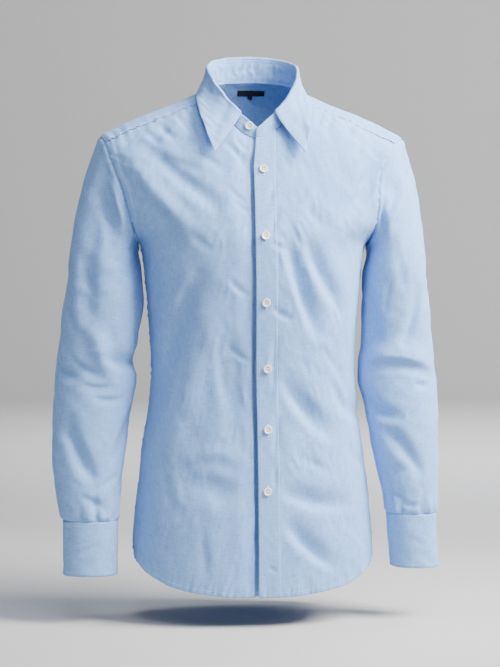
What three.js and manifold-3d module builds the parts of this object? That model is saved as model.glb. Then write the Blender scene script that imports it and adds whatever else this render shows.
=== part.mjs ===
// A long sleeve dress shirt, filled out as worn with nobody in it: collar open at the neck, front buttoned.
// Millimetres. +Z is up, the fronts face -Y and the wearer's left is +X.
// The origin is in the middle of the neck, about level with its sides. The shoulders hold the shirt there.
import * as THREE from "three";
import { mergeVertices } from "three/addons/utils/BufferGeometryUtils.js";
import Module from "manifold-3d";

const wasm = await Module();
wasm.setup();

// Cloth and gaps.
const CLOTH = 1.2; // one layer
const BAND = 2.0; // collar stand and cuffs: two layers and an interlining
const LEAF = 1.6; // collar leaf
const STRIP = 0.8; // plackets and labels
const SEAM = 0.6; // gap between two pieces at a seam
const LAY = 0.4; // gap under a piece that lies on another

// Heights and widths of the body.
const BUST_TOP = -112; // up to here the body is made of level rings
const HEM_TOP = -560; // down to here the rows of the body are level
const ARMPIT = -226;
const SQUARENESS = 2.35; // 2 is an ellipse
const PLACKET = 31; // width of the button placket
const UNDER_DEPTH = 3.8; // how far the under front sits behind the placket
const UNDER_REACH = 34; // the under front dips over this width

// Sleeves, cuffs and collar.
const SLEEVE_HEAD = -270; // from here down the sleeve is made of level rings
const SLEEVE_SQUARENESS = 2.15;
const CAP_TENSION = 0.66; // below 1 the sleeve's head swings out less
const CAP_OUT = 0.62; // share by which the sleeve's head leaves the shoulder square to the seam
const CAP_RISE = 70; // it reaches that share this far above the armpit
const ARMPIT_OUT = 0.9; // at the armpit the sleeve runs out this much for 1 down
const SLIT = { turn: 150, reach: 118 }; // the sleeve's slit above the cuff's lap
const LAP = 30; // the cuff's lap, in degrees
const NECK_SEAM_TURN = 112; // where the yoke's front seam meets the neckline
const YOKE_CORNER_TURN = 74; // the neckline's turn above the yoke's back corners
const ROLL = 4.2; // the collar leaf's roll stands this far above and outside the stand
const LEAF_POINT = 160; // the leaf's edge is given up to this turn
const LEAF_SHIFT = 3; // the leaf sits this far to the wearer's right
const NECK_PITCH = 1.32; // millimetres to a degree of turn along the neckline in front

// Numbers of grid steps.
const PLACKET_COLUMNS = 3;
const NECK_COLUMNS = 4;
const SHOULDER_COLUMNS = 8;
const BACK_COLUMNS = 20;
const ARMHOLE_COLUMNS = 5;
const TAIL_ROWS = 5;
const SIDE_ROWS = 13; // from HEM_TOP up to the armpit
const ARMHOLE_ROWS = 6; // from the armpit up to BUST_TOP
const CHEST_ROWS = 5; // from BUST_TOP up to the neckline and the yoke
const SLEEVE_HEAD_ROWS = 7;
const SLEEVE_ROWS = 14;
const CUFF_COLUMNS = 26;

const radians = THREE.MathUtils.degToRad;
const degrees = THREE.MathUtils.radToDeg;
const lerp = THREE.MathUtils.lerp;
const smooth = THREE.MathUtils.smoothstep;
const vec = (x, y, z) => new THREE.Vector3(x, y, z);
const steps = (n) => Array.from({ length: n + 1 }, (_, i) => i / n);
const UP = vec(0, 0, 1);

function table(names, ...rows) {
  return rows.map((row) => Object.fromEntries(names.map((name, i) => [name, row[i]])));
}

function hermite(start, leave, end, arrive, t) {
  const t2 = t * t;
  const t3 = t2 * t;
  const fromStart = (2 * t3 - 3 * t2 + 1) * start + (t3 - 2 * t2 + t) * leave;
  return fromStart + (3 * t2 - 2 * t3) * end + (t3 - t2) * arrive;
}

// A smooth curve through one column of a table, with no overshoot between its rows. The key column rises.
function column(rows, key, name) {
  const x = rows.map((row) => row[key]);
  const y = rows.map((row) => row[name]);
  const slope = x.slice(1).map((next, i) => (y[i + 1] - y[i]) / (next - x[i]));
  const tangent = x.map((_, i) => {
    if (i === 0) return slope[0];
    if (i === x.length - 1) return slope[i - 1];
    const before = slope[i - 1];
    const after = slope[i];
    return before * after <= 0 ? 0 : (2 * before * after) / (before + after);
  });
  return (at) => {
    if (at <= x[0]) return y[0];
    if (at >= x.at(-1)) return y.at(-1);
    const i = x.findIndex((next) => next > at) - 1;
    const span = x[i + 1] - x[i];
    return hermite(y[i], tangent[i] * span, y[i + 1], tangent[i + 1] * span, (at - x[i]) / span);
  };
}

// All columns of a table as curves over its first column.
function curves(rows) {
  const [key, ...names] = Object.keys(rows[0]);
  return Object.fromEntries(names.map((name) => [name, column(rows, key, name)]));
}

// Level rings of the body. The armholes cut away the sides above the armpit.
const body = curves(
  table(
    ["z", "halfWidth", "front", "back"],
    [-800, 187, 123, 124],
    [-700, 185, 122, 122],
    [-616, 179, 118, 117],
    [-542, 170, 113, 110],
    [-468, 160, 110, 104],
    [-407, 156, 113, 103],
    [-340, 160, 120, 110],
    [-280, 165, 125, 119],
    [-228, 172, 125, 125],
    [-190, 206, 118, 124],
    [-150, 228, 108, 118],
    [-112, 238, 96, 110],
    [-60, 238, 78, 100],
  ),
);

// Where the armhole seam crosses each level, in front and behind.
const armhole = curves(
  table(
    ["z", "front", "back"],
    [-226, 172, 172],
    [-215, 178, 180],
    [-200, 183, 187],
    [-180, 186, 193],
    [-145, 192, 201],
    [-112, 201, 206],
  ),
);

// The fronts hang a little askew: their armhole seams lie this far towards the wearer's right.
const armholeSwing = column(
  table(["z", "x"], [-226, 0], [-185, 3.5], [-148, 8], [-110, 11], [-88, 9], [-70, 5.5]),
  "z",
  "x",
);

// How far from the middle the upper front's edge, the under front's edge and the line of buttons lie.
// The open collar lets the two neck ends drift apart.
const middle = curves(
  table(
    ["z", "edge", "underEdge", "buttons"],
    [-760, -3, 26, 10],
    [-594, -3, 26, 10],
    [-500, -4, 26, 11],
    [-412, -6, 25, 10],
    [-300, -7, 23, 7],
    [-215, -8, 21, 6],
    [-115, -8, 20, 6],
    [-100, -7, 17, 6],
    [-84, -1, 10, 6],
    [-67, -3, 4, 6],
  ),
);

// Height of the hems, by the turn in degrees from the middle of the front or of the back to the side seam.
const hem = curves(
  table(
    ["turn", "front", "back"],
    [0, -751, -766],
    [20, -750, -765],
    [40, -745, -759],
    [54, -737, -749],
    [62, -728, -739],
    [70, -718, -726],
    [78, -707, -712],
    [84, -694, -696],
    [90, -668, -668],
  ),
);

// The neckline, by its turn in degrees from the middle of the back. Past 180 it is past the middle front.
// The cloth there faces up by the tilt. The stand rises from it by its height and leans out by its lean.
const neckline = curves(
  table(
    ["turn", "x", "y", "z", "tilt", "height", "lean"],
    [0, 0, 65, 28, 48, 36.5, -6],
    [30, 34, 59, 26, 52, 36, -5],
    [60, 60, 36, 20, 62, 34, -3],
    [90, 69, 4, 11, 72, 32, -2],
    [115, 64, -28, -5, 66, 30, 0],
    [140, 47, -58, -34, 45, 27, 0],
    [160, 25, -75, -56, 30, 25, -4],
    [180, 0, -81, -67, 24, 24, -4],
    [200, -26, -79, -65, 24, 24, -4],
  ),
);

// The collar leaf's lower edge, by the turn from the middle of the back (0) to its point (160).
const leafEdge = curves(
  table(
    ["turn", "x", "y", "z"],
    [0, 0, 82, 21],
    [30, 41, 73, 20],
    [60, 71, 45, 17],
    [75, 80, 23, 13],
    [90, 84, -4, 6],
    [105, 87, -37, -7],
    [120, 84, -67, -31],
    [135, 78, -88, -54],
    [148, 72, -97, -75],
    [160, 68, -105, -89],
  ),
);

// The shoulder's corners: the outer end of the yoke's front seam, and two places on the armhole behind it.
const SHOULDER = [
  { place: vec(219, -31, -70), normal: vec(0.42, -0.42, 0.8).normalize() },
  { place: vec(231, 4, -60), normal: vec(0.53, -0.02, 0.85).normalize() },
  { place: vec(222, 45, -76), normal: vec(0.42, 0.45, 0.78).normalize() },
];

// Level rings of the sleeves, by their middle and half sizes.
const SLEEVES = {
  left: {
    side: 1,
    rings: table(
      ["z", "x", "y", "halfWidth", "halfDepth"],
      [-717, 246.5, -37, 37.2, 37.5],
      [-637, 241.5, -34, 38.2, 38],
      [-627, 241.5, -33, 40.5, 41],
      [-598, 239.5, -31, 43.5, 43],
      [-550, 234.7, -27, 50, 46],
      [-502, 231, -22, 54.5, 49],
      [-466, 228, -17, 57, 51],
      [-436, 223, -13, 60.5, 52],
      [-405, 222, -10, 58.5, 53],
      [-380, 223, -8, 55.5, 54],
      [-331, 222, -6, 52.5, 60],
      [-270, 220, -4, 48.5, 64],
    ),
    cuff: { top: -637, bottom: -717 },
    folds: table(
      ["turn0", "z0", "turn1", "z1", "bow", "width", "depth"],
      [62, -112, -34, -214, 6, 13, -4.5],
      [66, -276, 36, -376, 6, 13, -4.5],
      [-50, -290, -46, -388, 0, 14, -4],
      [-100, -398, 62, -418, -10, 11, -5],
      [-76, -462, -6, -490, 6, 12, -4.5],
      [-56, -496, 20, -580, -6, 14, -4.5],
      [110, -150, 128, -330, 8, 15, -4.5],
      [176, -190, 214, -360, -8, 15, -4.5],
      [118, -400, 220, -436, 8, 12, -4.5],
      [120, -480, 190, -520, 6, 12, -4.5],
    ),
  },
  right: {
    side: -1,
    rings: table(
      ["z", "x", "y", "halfWidth", "halfDepth"],
      [-723, 250.5, -38, 41.3, 34],
      [-643, 250, -35, 42, 34],
      [-632, 251, -34, 45, 37],
      [-603, 253, -31, 49, 40],
      [-570, 253.5, -28, 52.8, 42],
      [-535, 251.8, -25, 55.8, 44],
      [-496, 249, -20, 58, 47],
      [-463, 245.5, -16, 60, 50],
      [-427, 240.7, -12, 62, 52],
      [-402, 242, -10, 58, 54],
      [-370, 236, -8, 59.5, 57],
      [-343, 233, -6, 60, 60],
      [-306, 231, -5, 57, 63],
      [-270, 230, -4, 52, 65],
    ),
    cuff: { top: -643, bottom: -723 },
    folds: table(
      ["turn0", "z0", "turn1", "z1", "bow", "width", "depth"],
      [46, -140, 48, -390, 6, 15, -5.5],
      [14, -110, -28, -214, 4, 13, 4],
      [36, -332, -28, -440, 8, 15, 4.5],
      [-104, -402, -10, -392, 8, 10, -5.5],
      [20, -424, 84, -404, 6, 12, -4.5],
      [50, -480, -20, -588, -8, 15, -5],
      [-80, -470, -40, -560, 6, 13, -4],
      [112, -150, 130, -330, 8, 15, -4.5],
      [178, -200, 216, -360, -8, 15, -4.5],
      [120, -404, 222, -440, 8, 12, -4.5],
      [122, -490, 196, -530, 6, 12, -4.5],
    ),
  },
};

// The largest folds of the fronts and the back. A fold runs from one place to another as seen from in front
// or behind, bows sideways, and is a trough where its depth is negative.
const BODY_FOLDS = table(
  ["face", "x0", "z0", "x1", "z1", "bow", "width", "depth"],
  ["front", -212, -66, -66, -226, 6, 17, 5],
  ["front", -188, -58, -22, -196, 4, 15, -4.5],
  ["front", -176, -170, -104, -262, -6, 22, -5],
  ["front", -88, -262, -142, -418, 8, 15, -6.5],
  ["front", -62, -300, -166, -590, -6, 26, 5],
  ["front", -38, -350, -30, -560, 6, 17, -4],
  ["front", -128, -566, -8, -596, 8, 24, -4],
  ["front", 198, -84, 140, -190, -5, 16, -4.5],
  ["front", 26, -226, 112, -376, 9, 15, -5],
  ["front", 76, -232, 136, -372, 8, 15, -4.5],
  ["front", 30, -420, 118, -522, 8, 16, -5],
  ["front", 112, -432, 158, -496, 5, 12, -4],
  ["front", 28, -590, 142, -618, 8, 18, -4.5],
  ["front", 36, -636, 124, -716, 8, 15, -4.5],
  ["back", -60, -150, -130, -330, 8, 20, -5],
  ["back", 60, -150, 136, -330, -8, 20, -5],
  ["back", -26, -250, -20, -470, 10, 18, -5],
  ["back", 30, -300, 34, -560, -8, 20, -5],
  ["back", -140, -400, -60, -470, 8, 15, -4.5],
  ["back", 142, -410, 58, -490, -8, 15, -4.5],
  ["back", -96, -540, -104, -720, 6, 22, -4.5],
  ["back", 90, -560, 100, -720, -6, 22, -4.5],
);

// How far one fold moves a point out, from the point's place in the fold's own plane.
function foldHeight(u, z, u0, z0, u1, z1, fold) {
  const length = Math.hypot(u1 - u0, z1 - z0);
  const alongU = (u1 - u0) / length;
  const alongZ = (z1 - z0) / length;
  const t = ((u - u0) * alongU + (z - z0) * alongZ) / length;
  if (t <= 0 || t >= 1) return 0;
  const off = (u - u0) * alongZ - (z - z0) * alongU - fold.bow * 4 * t * (1 - t);
  const q = off / fold.width;
  return fold.depth * Math.sin(Math.PI * t) ** 0.8 * (1 - 0.55 * q * q) * Math.exp(-0.8 * q * q);
}

function bodyFold(face, x, z) {
  let height = 0;
  for (const fold of BODY_FOLDS)
    if (fold.face === face) height += foldHeight(x, z, fold.x0, fold.z0, fold.x1, fold.z1, fold);
  return height;
}

// On a sleeve the way round is measured in degrees, close to a millimetre each.
function sleeveFold(folds, turn, z) {
  let height = 0;
  for (const fold of folds)
    for (const lap of [-360, 0, 360])
      height += foldHeight(turn + lap, z, fold.turn0, fold.z0, fold.turn1, fold.z1, fold);
  return height;
}

// A point at a turn of a level ring, in radians from straight ahead towards the wearer's left.
function ringPoint(turn, z, halfWidth, front, back, squareness) {
  const across = Math.sin(turn);
  const ahead = Math.cos(turn);
  const depth = ahead > 0 ? front : back;
  const sum = Math.abs(across / halfWidth) ** squareness + Math.abs(ahead / depth) ** squareness;
  const radius = sum ** (-1 / squareness);
  return vec(radius * across, -radius * ahead, z);
}

function bodyPoint(turn, z) {
  return ringPoint(turn, z, body.halfWidth(z), body.front(z), body.back(z), SQUARENESS);
}

function bodyNormal(turn, z) {
  const little = 1e-3;
  const across = bodyPoint(turn + little, z).sub(bodyPoint(turn - little, z));
  const up = bodyPoint(turn, z + 1).sub(bodyPoint(turn, z - 1));
  return across.cross(up).normalize();
}

// The turn at which the body's ring passes a given x, in front or behind.
function turnAt(x, z, behind = false) {
  const share = Math.min(1, Math.abs(x) / body.halfWidth(z));
  const depth = behind ? body.back(z) : body.front(z);
  const y = depth * (1 - share ** SQUARENESS) ** (1 / SQUARENESS);
  return Math.atan2(x, behind ? -y : y);
}

// A point of the neckline and the way its cloth faces. A negative turn is on the wearer's right.
function neck(turn) {
  const side = turn < 0 ? -1 : 1;
  const at = Math.abs(turn);
  const place = vec(side * neckline.x(at), neckline.y(at), neckline.z(at));
  const out = vec(place.x, place.y, 0).normalize();
  const tilt = radians(neckline.tilt(at));
  const normal = out.clone().multiplyScalar(Math.cos(tilt)).addScaledVector(UP, Math.sin(tilt));
  return { place, out, normal };
}

const mirrorX = (p) => vec(-p.x, p.y, p.z);
const mirrorEnd = ({ place, normal }) => ({ place: mirrorX(place), normal: mirrorX(normal) });

// Cloth that runs from one edge to another, leaving and arriving along the surfaces there.
function bridge(start, end, t) {
  const chord = end.place.clone().sub(start.place);
  const length = chord.length();
  const from = chord.clone().projectOnPlane(start.normal).setLength(length);
  const to = chord.clone().projectOnPlane(end.normal).setLength(length);
  return curvePoint(start.place, from, end.place, to, t);
}

function curvePoint(start, leave, end, arrive, t) {
  const along = (axis) => hermite(start[axis], leave[axis], end[axis], arrive[axis], t);
  return vec(along("x"), along("y"), along("z"));
}

// A grid of points on the outside of a piece of cloth. From outside, its columns go right and its rows up.
function makeGrid(points, wraps = false) {
  const rows = points.length;
  const columns = points[0].length;
  const normals = points.map((row, i) =>
    row.map((_, j) => {
      const before = wraps ? (j + columns - 1) % columns : Math.max(j - 1, 0);
      const after = wraps ? (j + 1) % columns : Math.min(j + 1, columns - 1);
      const across = row[after].clone().sub(row[before]);
      const up = points[Math.min(i + 1, rows - 1)][j].clone().sub(points[Math.max(i - 1, 0)][j]);
      return across.cross(up).normalize();
    }),
  );
  return { points, normals, wraps };
}

// Moves each point of a grid out by an amount.
function moved(grid, amount) {
  const points = grid.points.map((row, i) =>
    row.map((p, j) => p.clone().addScaledVector(grid.normals[i][j], amount(p, i, j))),
  );
  return makeGrid(points, grid.wraps);
}

// Part of a grid, moved out, for what lies on it.
function patch(grid, rows, columns, out) {
  const slice = (list, [from, to]) => list.slice(from, to + 1);
  const pick = (list) => slice(list, rows).map((row) => slice(row, columns));
  const normals = pick(grid.normals).map((row) => row.map((n) => n.clone().normalize()));
  const lift = (p, i, j) => p.clone().addScaledVector(normals[i][j], out);
  const points = pick(grid.points).map((row, i) => row.map((p, j) => lift(p, i, j)));
  return { points, normals, wraps: false };
}

// The way from an edge point of a grid to the cloth behind a seam that runs along the edge there.
function inward(grid, i, j, isJoined) {
  const { points, wraps } = grid;
  const top = points.length - 1;
  const end = points[0].length - 1;
  const total = vec(0, 0, 0);
  const pull = (inner, before, after) => {
    const along = after.clone().sub(before).normalize();
    total.add(inner.clone().sub(points[i][j]).projectOnPlane(along).normalize());
  };
  const row = points[i];
  const rowJoined = isJoined(row[j - 1]) || isJoined(row[j + 1]);
  const columnJoined = isJoined(points[i - 1]?.[j]) || isJoined(points[i + 1]?.[j]);
  const beside = wraps
    ? [row.at(j - 1), row[(j + 1) % row.length]]
    : [row[Math.max(j - 1, 0)], row[Math.min(j + 1, end)]];
  const above = [points[Math.max(i - 1, 0)][j], points[Math.min(i + 1, top)][j]];
  if (i === 0 && rowJoined) pull(points[1][j], ...beside);
  if (i === top && rowJoined) pull(points[top - 1][j], ...beside);
  if (!wraps && j === 0 && columnJoined) pull(row[1], ...above);
  if (!wraps && j === end && columnJoined) pull(row[end - 1], ...above);
  return total;
}

// Grids that share points meet there in one mitred face, and each draws back by half of the seam's gap.
function sew(grids) {
  const places = new Map();
  for (const grid of grids)
    grid.points.forEach((row, i) =>
      row.forEach((point, j) => places.set(point, [...(places.get(point) ?? []), { grid, i, j }])),
    );
  const isJoined = (point) => (places.get(point)?.length ?? 0) > 1;
  const changes = [];
  for (const [point, sharing] of places) {
    if (sharing.length < 2) continue;
    const mean = vec(0, 0, 0);
    sharing.forEach(({ grid, i, j }) => mean.add(grid.normals[i][j]));
    mean.normalize();
    for (const { grid, i, j } of sharing) {
      const normal = mean.clone().divideScalar(Math.max(0.8, mean.dot(grid.normals[i][j])));
      const place = point.clone().addScaledVector(inward(grid, i, j, isJoined), SEAM / 2);
      changes.push({ grid, i, j, normal, place });
    }
  }
  for (const { grid, i, j, normal, place } of changes) {
    grid.points[i][j] = place;
    grid.normals[i][j] = normal;
  }
}

// A closed wall of cloth: a grid's points outside, and the same points moved in by the thickness.
function wall(grid, thickness) {
  const { points, normals, wraps } = grid;
  const rows = points.length;
  const columns = points[0].length;
  const position = [];
  for (const depth of [0, thickness])
    points.forEach((row, i) =>
      row.forEach((p, j) => position.push(...p.clone().addScaledVector(normals[i][j], -depth))),
    );
  const at = (side, i, j) => side * rows * columns + i * columns + (j % columns);
  const index = [];
  const quad = (a, b, c, d) => index.push(a, b, c, a, c, d);
  const top = rows - 1;
  const end = columns - 1;
  for (let j = 0; j < (wraps ? columns : end); j++) {
    for (let i = 0; i < top; i++) {
      quad(at(0, i, j), at(0, i, j + 1), at(0, i + 1, j + 1), at(0, i + 1, j));
      quad(at(1, i, j), at(1, i + 1, j), at(1, i + 1, j + 1), at(1, i, j + 1));
    }
    quad(at(1, 0, j + 1), at(0, 0, j + 1), at(0, 0, j), at(1, 0, j));
    quad(at(0, top, j), at(0, top, j + 1), at(1, top, j + 1), at(1, top, j));
  }
  for (let i = 0; i < top && !wraps; i++) {
    quad(at(0, i + 1, 0), at(1, i + 1, 0), at(1, i, 0), at(0, i, 0));
    quad(at(1, i + 1, end), at(0, i + 1, end), at(0, i, end), at(1, i, end));
  }
  const geometry = new THREE.BufferGeometry();
  geometry.setAttribute("position", new THREE.Float32BufferAttribute(position, 3));
  geometry.setIndex(index);
  return geometry;
}

// The levels of the body's rows. Up to HEM_TOP a row lies a share of the way up from the hem.
const LEVELS = [
  ...steps(TAIL_ROWS).map((share) => ({ share, z: HEM_TOP })),
  ...steps(SIDE_ROWS)
    .slice(1)
    .map((t) => ({ share: 1, z: lerp(HEM_TOP, ARMPIT, t) })),
  ...steps(ARMHOLE_ROWS)
    .slice(1)
    .map((t) => ({ share: 1, z: lerp(ARMPIT, BUST_TOP, t ** 1.4) })),
];
const ARMPIT_ROW = TAIL_ROWS + SIDE_ROWS;

function levelZ(level, turn, face) {
  const fromMiddle = face === "front" ? degrees(turn) : 180 - degrees(turn);
  return lerp(hem[face](Math.abs(fromMiddle)), level.z, level.share);
}

// The shoulder's ends on one side, as on the wearer's left.
function shoulderEnds(side) {
  const [front, ...others] = SHOULDER;
  const swung = vec(front.place.x - side * armholeSwing(front.place.z), front.place.y, front.place.z);
  return [{ place: swung, normal: front.normal }, ...others];
}

// The yoke's front seam from the neck (0) to the armhole (1), as on the wearer's left.
function yokeFrontSeam(side, t) {
  const start = neck(NECK_SEAM_TURN);
  const end = shoulderEnds(side)[0];
  return { place: bridge(start, end, t), normal: start.normal.clone().lerp(end.normal, t).normalize() };
}

// The turns of the neckline at a front's columns, from its edge to the yoke.
function frontNeckTurns(isUpper) {
  const top = neckline.z(180);
  const past = isUpper ? -middle.edge(top) : middle.underEdge(top);
  const start = 180 + degrees(Math.asin(past / neckline.x(90)));
  const inner = start - PLACKET / NECK_PITCH;
  return [
    ...steps(PLACKET_COLUMNS).map((t) => lerp(start, inner, t)),
    ...steps(NECK_COLUMNS)
      .slice(1)
      .map((t) => lerp(inner, NECK_SEAM_TURN, t)),
  ];
}

// One front. The upper one is the wearer's left. Both are worked out there, and the under one is mirrored.
function makeFront(isUpper) {
  const side = isUpper ? 1 : -1;
  const outerColumns = NECK_COLUMNS + SHOULDER_COLUMNS;
  const startX = (z) => (isUpper ? middle.edge(z) : -middle.underEdge(z));
  const rows = LEVELS.map((level) => {
    const middleZ = levelZ(level, 0, "front");
    const edge = startX(middleZ);
    const seamX = armhole.front(level.z) - side * armholeSwing(level.z);
    const sideTurn = level.z > ARMPIT ? turnAt(seamX, level.z) : Math.PI / 2;
    const turns = [
      ...steps(PLACKET_COLUMNS).map((t) => turnAt(edge + PLACKET * t, middleZ)),
      ...steps(outerColumns)
        .slice(1)
        .map((t) => lerp(turnAt(edge + PLACKET, middleZ), sideTurn, t)),
    ];
    return turns.map((turn) => bodyPoint(turn, levelZ(level, turn, "front")));
  });
  const bust = rows.at(-1);
  const top = [
    ...frontNeckTurns(isUpper).map((turn) => neck(turn)),
    ...steps(SHOULDER_COLUMNS)
      .slice(1)
      .map((t) => yokeFrontSeam(side, t)),
  ];
  for (const t of steps(CHEST_ROWS).slice(1))
    rows.push(
      bust.map((place, j) => {
        const normal = bodyNormal(Math.atan2(place.x, -place.y), BUST_TOP);
        return bridge({ place, normal }, top[j], t);
      }),
    );
  const placed = isUpper ? rows : rows.map((row) => row.map(mirrorX).reverse());
  const fade = (z) => smooth(z, -765, -690) * (1 - smooth(z, -100, -40));
  return moved(makeGrid(placed), (p) => {
    const fold = bodyFold("front", p.x, p.z) * fade(p.z) * smooth(side * p.x, -40, 60);
    const tuck = smooth(p.x, middle.edge(p.z) - UNDER_REACH, middle.edge(p.z) - 2);
    return isUpper ? fold : fold - UNDER_DEPTH * tuck;
  });
}

// The back, from the wearer's left side seam to the right one, up to the yoke.
function makeBack() {
  const rows = LEVELS.map((level) => {
    const sideTurn = level.z > ARMPIT ? turnAt(armhole.back(level.z), level.z, true) : Math.PI / 2;
    return steps(BACK_COLUMNS).map((t) => {
      const turn = lerp(sideTurn, 2 * Math.PI - sideTurn, t);
      return bodyPoint(turn, levelZ(level, turn, "back"));
    });
  });
  const fade = (p) => smooth(p.z, -780, -700) * (1 - smooth(p.z, -190, -120)) * smooth(p.y, 20, 70);
  return moved(makeGrid(rows), (p) => bodyFold("back", p.x, p.z) * fade(p));
}

// The yoke, one piece over both shoulders: from the left front seam round the back to the right front seam,
// with its rows going up to the neckline.
function makeYoke(fronts, back) {
  const last = back.points.length - 1;
  const backSeam = back.points[last].map((place, j) => ({ place, normal: back.normals[last][j] }));
  const armholeTop = (side) => {
    const ends = [...shoulderEnds(side), backSeam[0]];
    const curve = new THREE.CatmullRomCurve3(ends.map((end) => end.place));
    return steps(ARMHOLE_COLUMNS)
      .slice(0, -1)
      .map((t) => {
        const i = Math.floor(t * 3);
        const normal = ends[i].normal.clone().lerp(ends[i + 1].normal, t * 3 - i);
        return { place: curve.getPoint(t), normal: normal.normalize() };
      });
  };
  const outer = [...armholeTop(1), ...backSeam, ...armholeTop(-1).map(mirrorEnd).reverse()];
  const turns = [
    ...steps(ARMHOLE_COLUMNS).map((t) => lerp(NECK_SEAM_TURN, YOKE_CORNER_TURN, t)),
    ...steps(BACK_COLUMNS)
      .slice(1, -1)
      .map((t) => lerp(YOKE_CORNER_TURN, -YOKE_CORNER_TURN, t)),
    ...steps(ARMHOLE_COLUMNS).map((t) => -lerp(YOKE_CORNER_TURN, NECK_SEAM_TURN, t)),
  ];
  const rowAt = (t) => outer.map((start, j) => bridge(start, neck(turns[j]), t));
  const points = steps(SHOULDER_COLUMNS).map(rowAt);
  const end = outer.length - 1;
  const frontTop = fronts.left.points.length - 1;
  const frontEnd = fronts.left.points[0].length - 1;
  points.forEach((row, i) => {
    row[0] = fronts.left.points[frontTop][frontEnd - i];
    row[end] = fronts.right.points[frontTop][i];
  });
  back.points[last].forEach((point, j) => (points[0][ARMHOLE_COLUMNS + j] = point));
  return { ...makeGrid(points), turns };
}

// The points of an armhole from the armpit up the front, over the shoulder and down the back.
function armholeLoop(isLeft, fronts, back, yoke) {
  const front = isLeft ? fronts.left : fronts.right;
  const frontColumn = isLeft ? front.points[0].length - 1 : 0;
  const yokeColumn = (k) => (isLeft ? k : yoke.points[0].length - 1 - k);
  const top = front.points.length - 1;
  const backTop = back.points.length - 1;
  const place = (grid, i, j) => ({ place: grid.points[i][j], normal: grid.normals[i][j] });
  const loop = [];
  for (let i = ARMPIT_ROW; i <= top; i++) loop.push(place(front, i, frontColumn));
  for (let k = 1; k <= ARMHOLE_COLUMNS; k++) loop.push(place(yoke, 0, yokeColumn(k)));
  for (let i = backTop - 1; i > ARMPIT_ROW; i--) loop.push(place(back, i, isLeft ? 0 : BACK_COLUMNS));
  return loop;
}

// A sleeve, worked out on the wearer's left. Its columns start at the armpit and go round by the front.
function makeSleeve(shape, loop) {
  const rings = curves(shape.rings);
  const isLeft = shape.side > 0;
  const ends = isLeft ? loop : loop.map(mirrorEnd);
  const places = ends.map((end) => end.place);
  const lengths = [0];
  places.forEach((p, k) => lengths.push(lengths[k] + p.distanceTo(places[(k + 1) % places.length])));
  const top = places.reduce((best, p, k) => (p.z > places[best].z ? k : best), 0);
  const turns = places.map((_, k) => {
    if (k <= top) return lerp(-90, 90, lengths[k] / lengths[top]);
    return lerp(90, 270, (lengths[k] - lengths[top]) / (lengths.at(-1) - lengths[top]));
  });
  const pointAt = (turn, z) => {
    const depth = rings.halfDepth(z);
    const p = ringPoint(radians(turn), z, rings.halfWidth(z), depth, depth, SLEEVE_SQUARENESS);
    return p.add(vec(rings.x(z), rings.y(z), 0));
  };
  const headRow = (t) =>
    ends.map(({ place, normal }, k) => {
      const along = places[(k + 1) % places.length].clone().sub(places.at(k - 1)).normalize();
      const away = normal.clone().cross(along).normalize();
      if (away.x < 0) away.negate();
      const share = CAP_OUT * smooth(place.z, ARMPIT, ARMPIT + CAP_RISE);
      const drop = vec(ARMPIT_OUT * (1 - share), 0, -1);
      const target = pointAt(turns[k], SLEEVE_HEAD);
      const length = CAP_TENSION * place.distanceTo(target);
      const leave = away.multiplyScalar(share).addScaledVector(drop, 1 - share).setLength(length);
      const arrive = target.clone().sub(pointAt(turns[k], SLEEVE_HEAD + 4)).setLength(length);
      return curvePoint(place, leave, target, arrive, t);
    });
  const end = shape.cuff.top + LAY;
  const levels = steps(SLEEVE_ROWS).map((t) => lerp(SLEEVE_HEAD, end, t));
  const head = steps(SLEEVE_HEAD_ROWS).slice(0, -1).map(headRow);
  const rows = [...head, ...levels.map((z) => turns.map((turn) => pointAt(turn, z)))];
  const folded = moved(makeGrid(rows.reverse(), true), (p, i, j) => {
    const fromArmhole = (rows.length - 1 - i) / SLEEVE_HEAD_ROWS;
    const fade = smooth(fromArmhole, 0, 0.5) * smooth(p.z, end, end + 40);
    return sleeveFold(shape.folds, turns[j], p.z) * fade;
  });
  const points = isLeft ? folded.points : folded.points.map((row) => row.map(mirrorX).reverse());
  points[points.length - 1] = (isLeft ? loop : [...loop].reverse()).map((joint) => joint.place);
  return { ...makeGrid(points, true), turns: isLeft ? turns : [...turns].reverse() };
}

// A cuff: a band that goes once round and laps over itself behind the outer side.
function makeCuff(shape) {
  const rings = curves(shape.rings);
  const isLeft = shape.side > 0;
  const start = SLIT.turn - 360 - LAP / 2;
  const end = SLIT.turn + LAP / 2;
  const under = -(BAND + LAY);
  const rows = steps(3).map((t) => {
    const z = lerp(shape.cuff.bottom, shape.cuff.top, t);
    return steps(CUFF_COLUMNS).map((along) => {
      const turn = lerp(start, end, along);
      const step = under * (1 - smooth(turn, start + LAP, start + LAP + 24));
      const width = rings.halfWidth(z) + step;
      const depth = rings.halfDepth(z) + step;
      const p = ringPoint(radians(turn), z, width, depth, depth, SLEEVE_SQUARENESS);
      return p.add(vec(rings.x(z), rings.y(z), 0));
    });
  });
  return makeGrid(isLeft ? rows : rows.map((row) => row.map(mirrorX).reverse()));
}

// The strip beside the sleeve's slit, on the sleeve above the cuff's lap.
function makeSlitStrip(sleeve) {
  const first = sleeve.turns.findIndex((turn, k) => {
    const next = sleeve.turns[k + 1] ?? turn;
    return (turn - SLIT.turn) * (next - SLIT.turn) <= 0;
  });
  const rowHeight = sleeve.points[2][0].z - sleeve.points[1][0].z;
  return patch(sleeve, [1, 1 + Math.round(SLIT.reach / rowHeight)], [first - 1, first + 1], LAY + STRIP);
}

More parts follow.
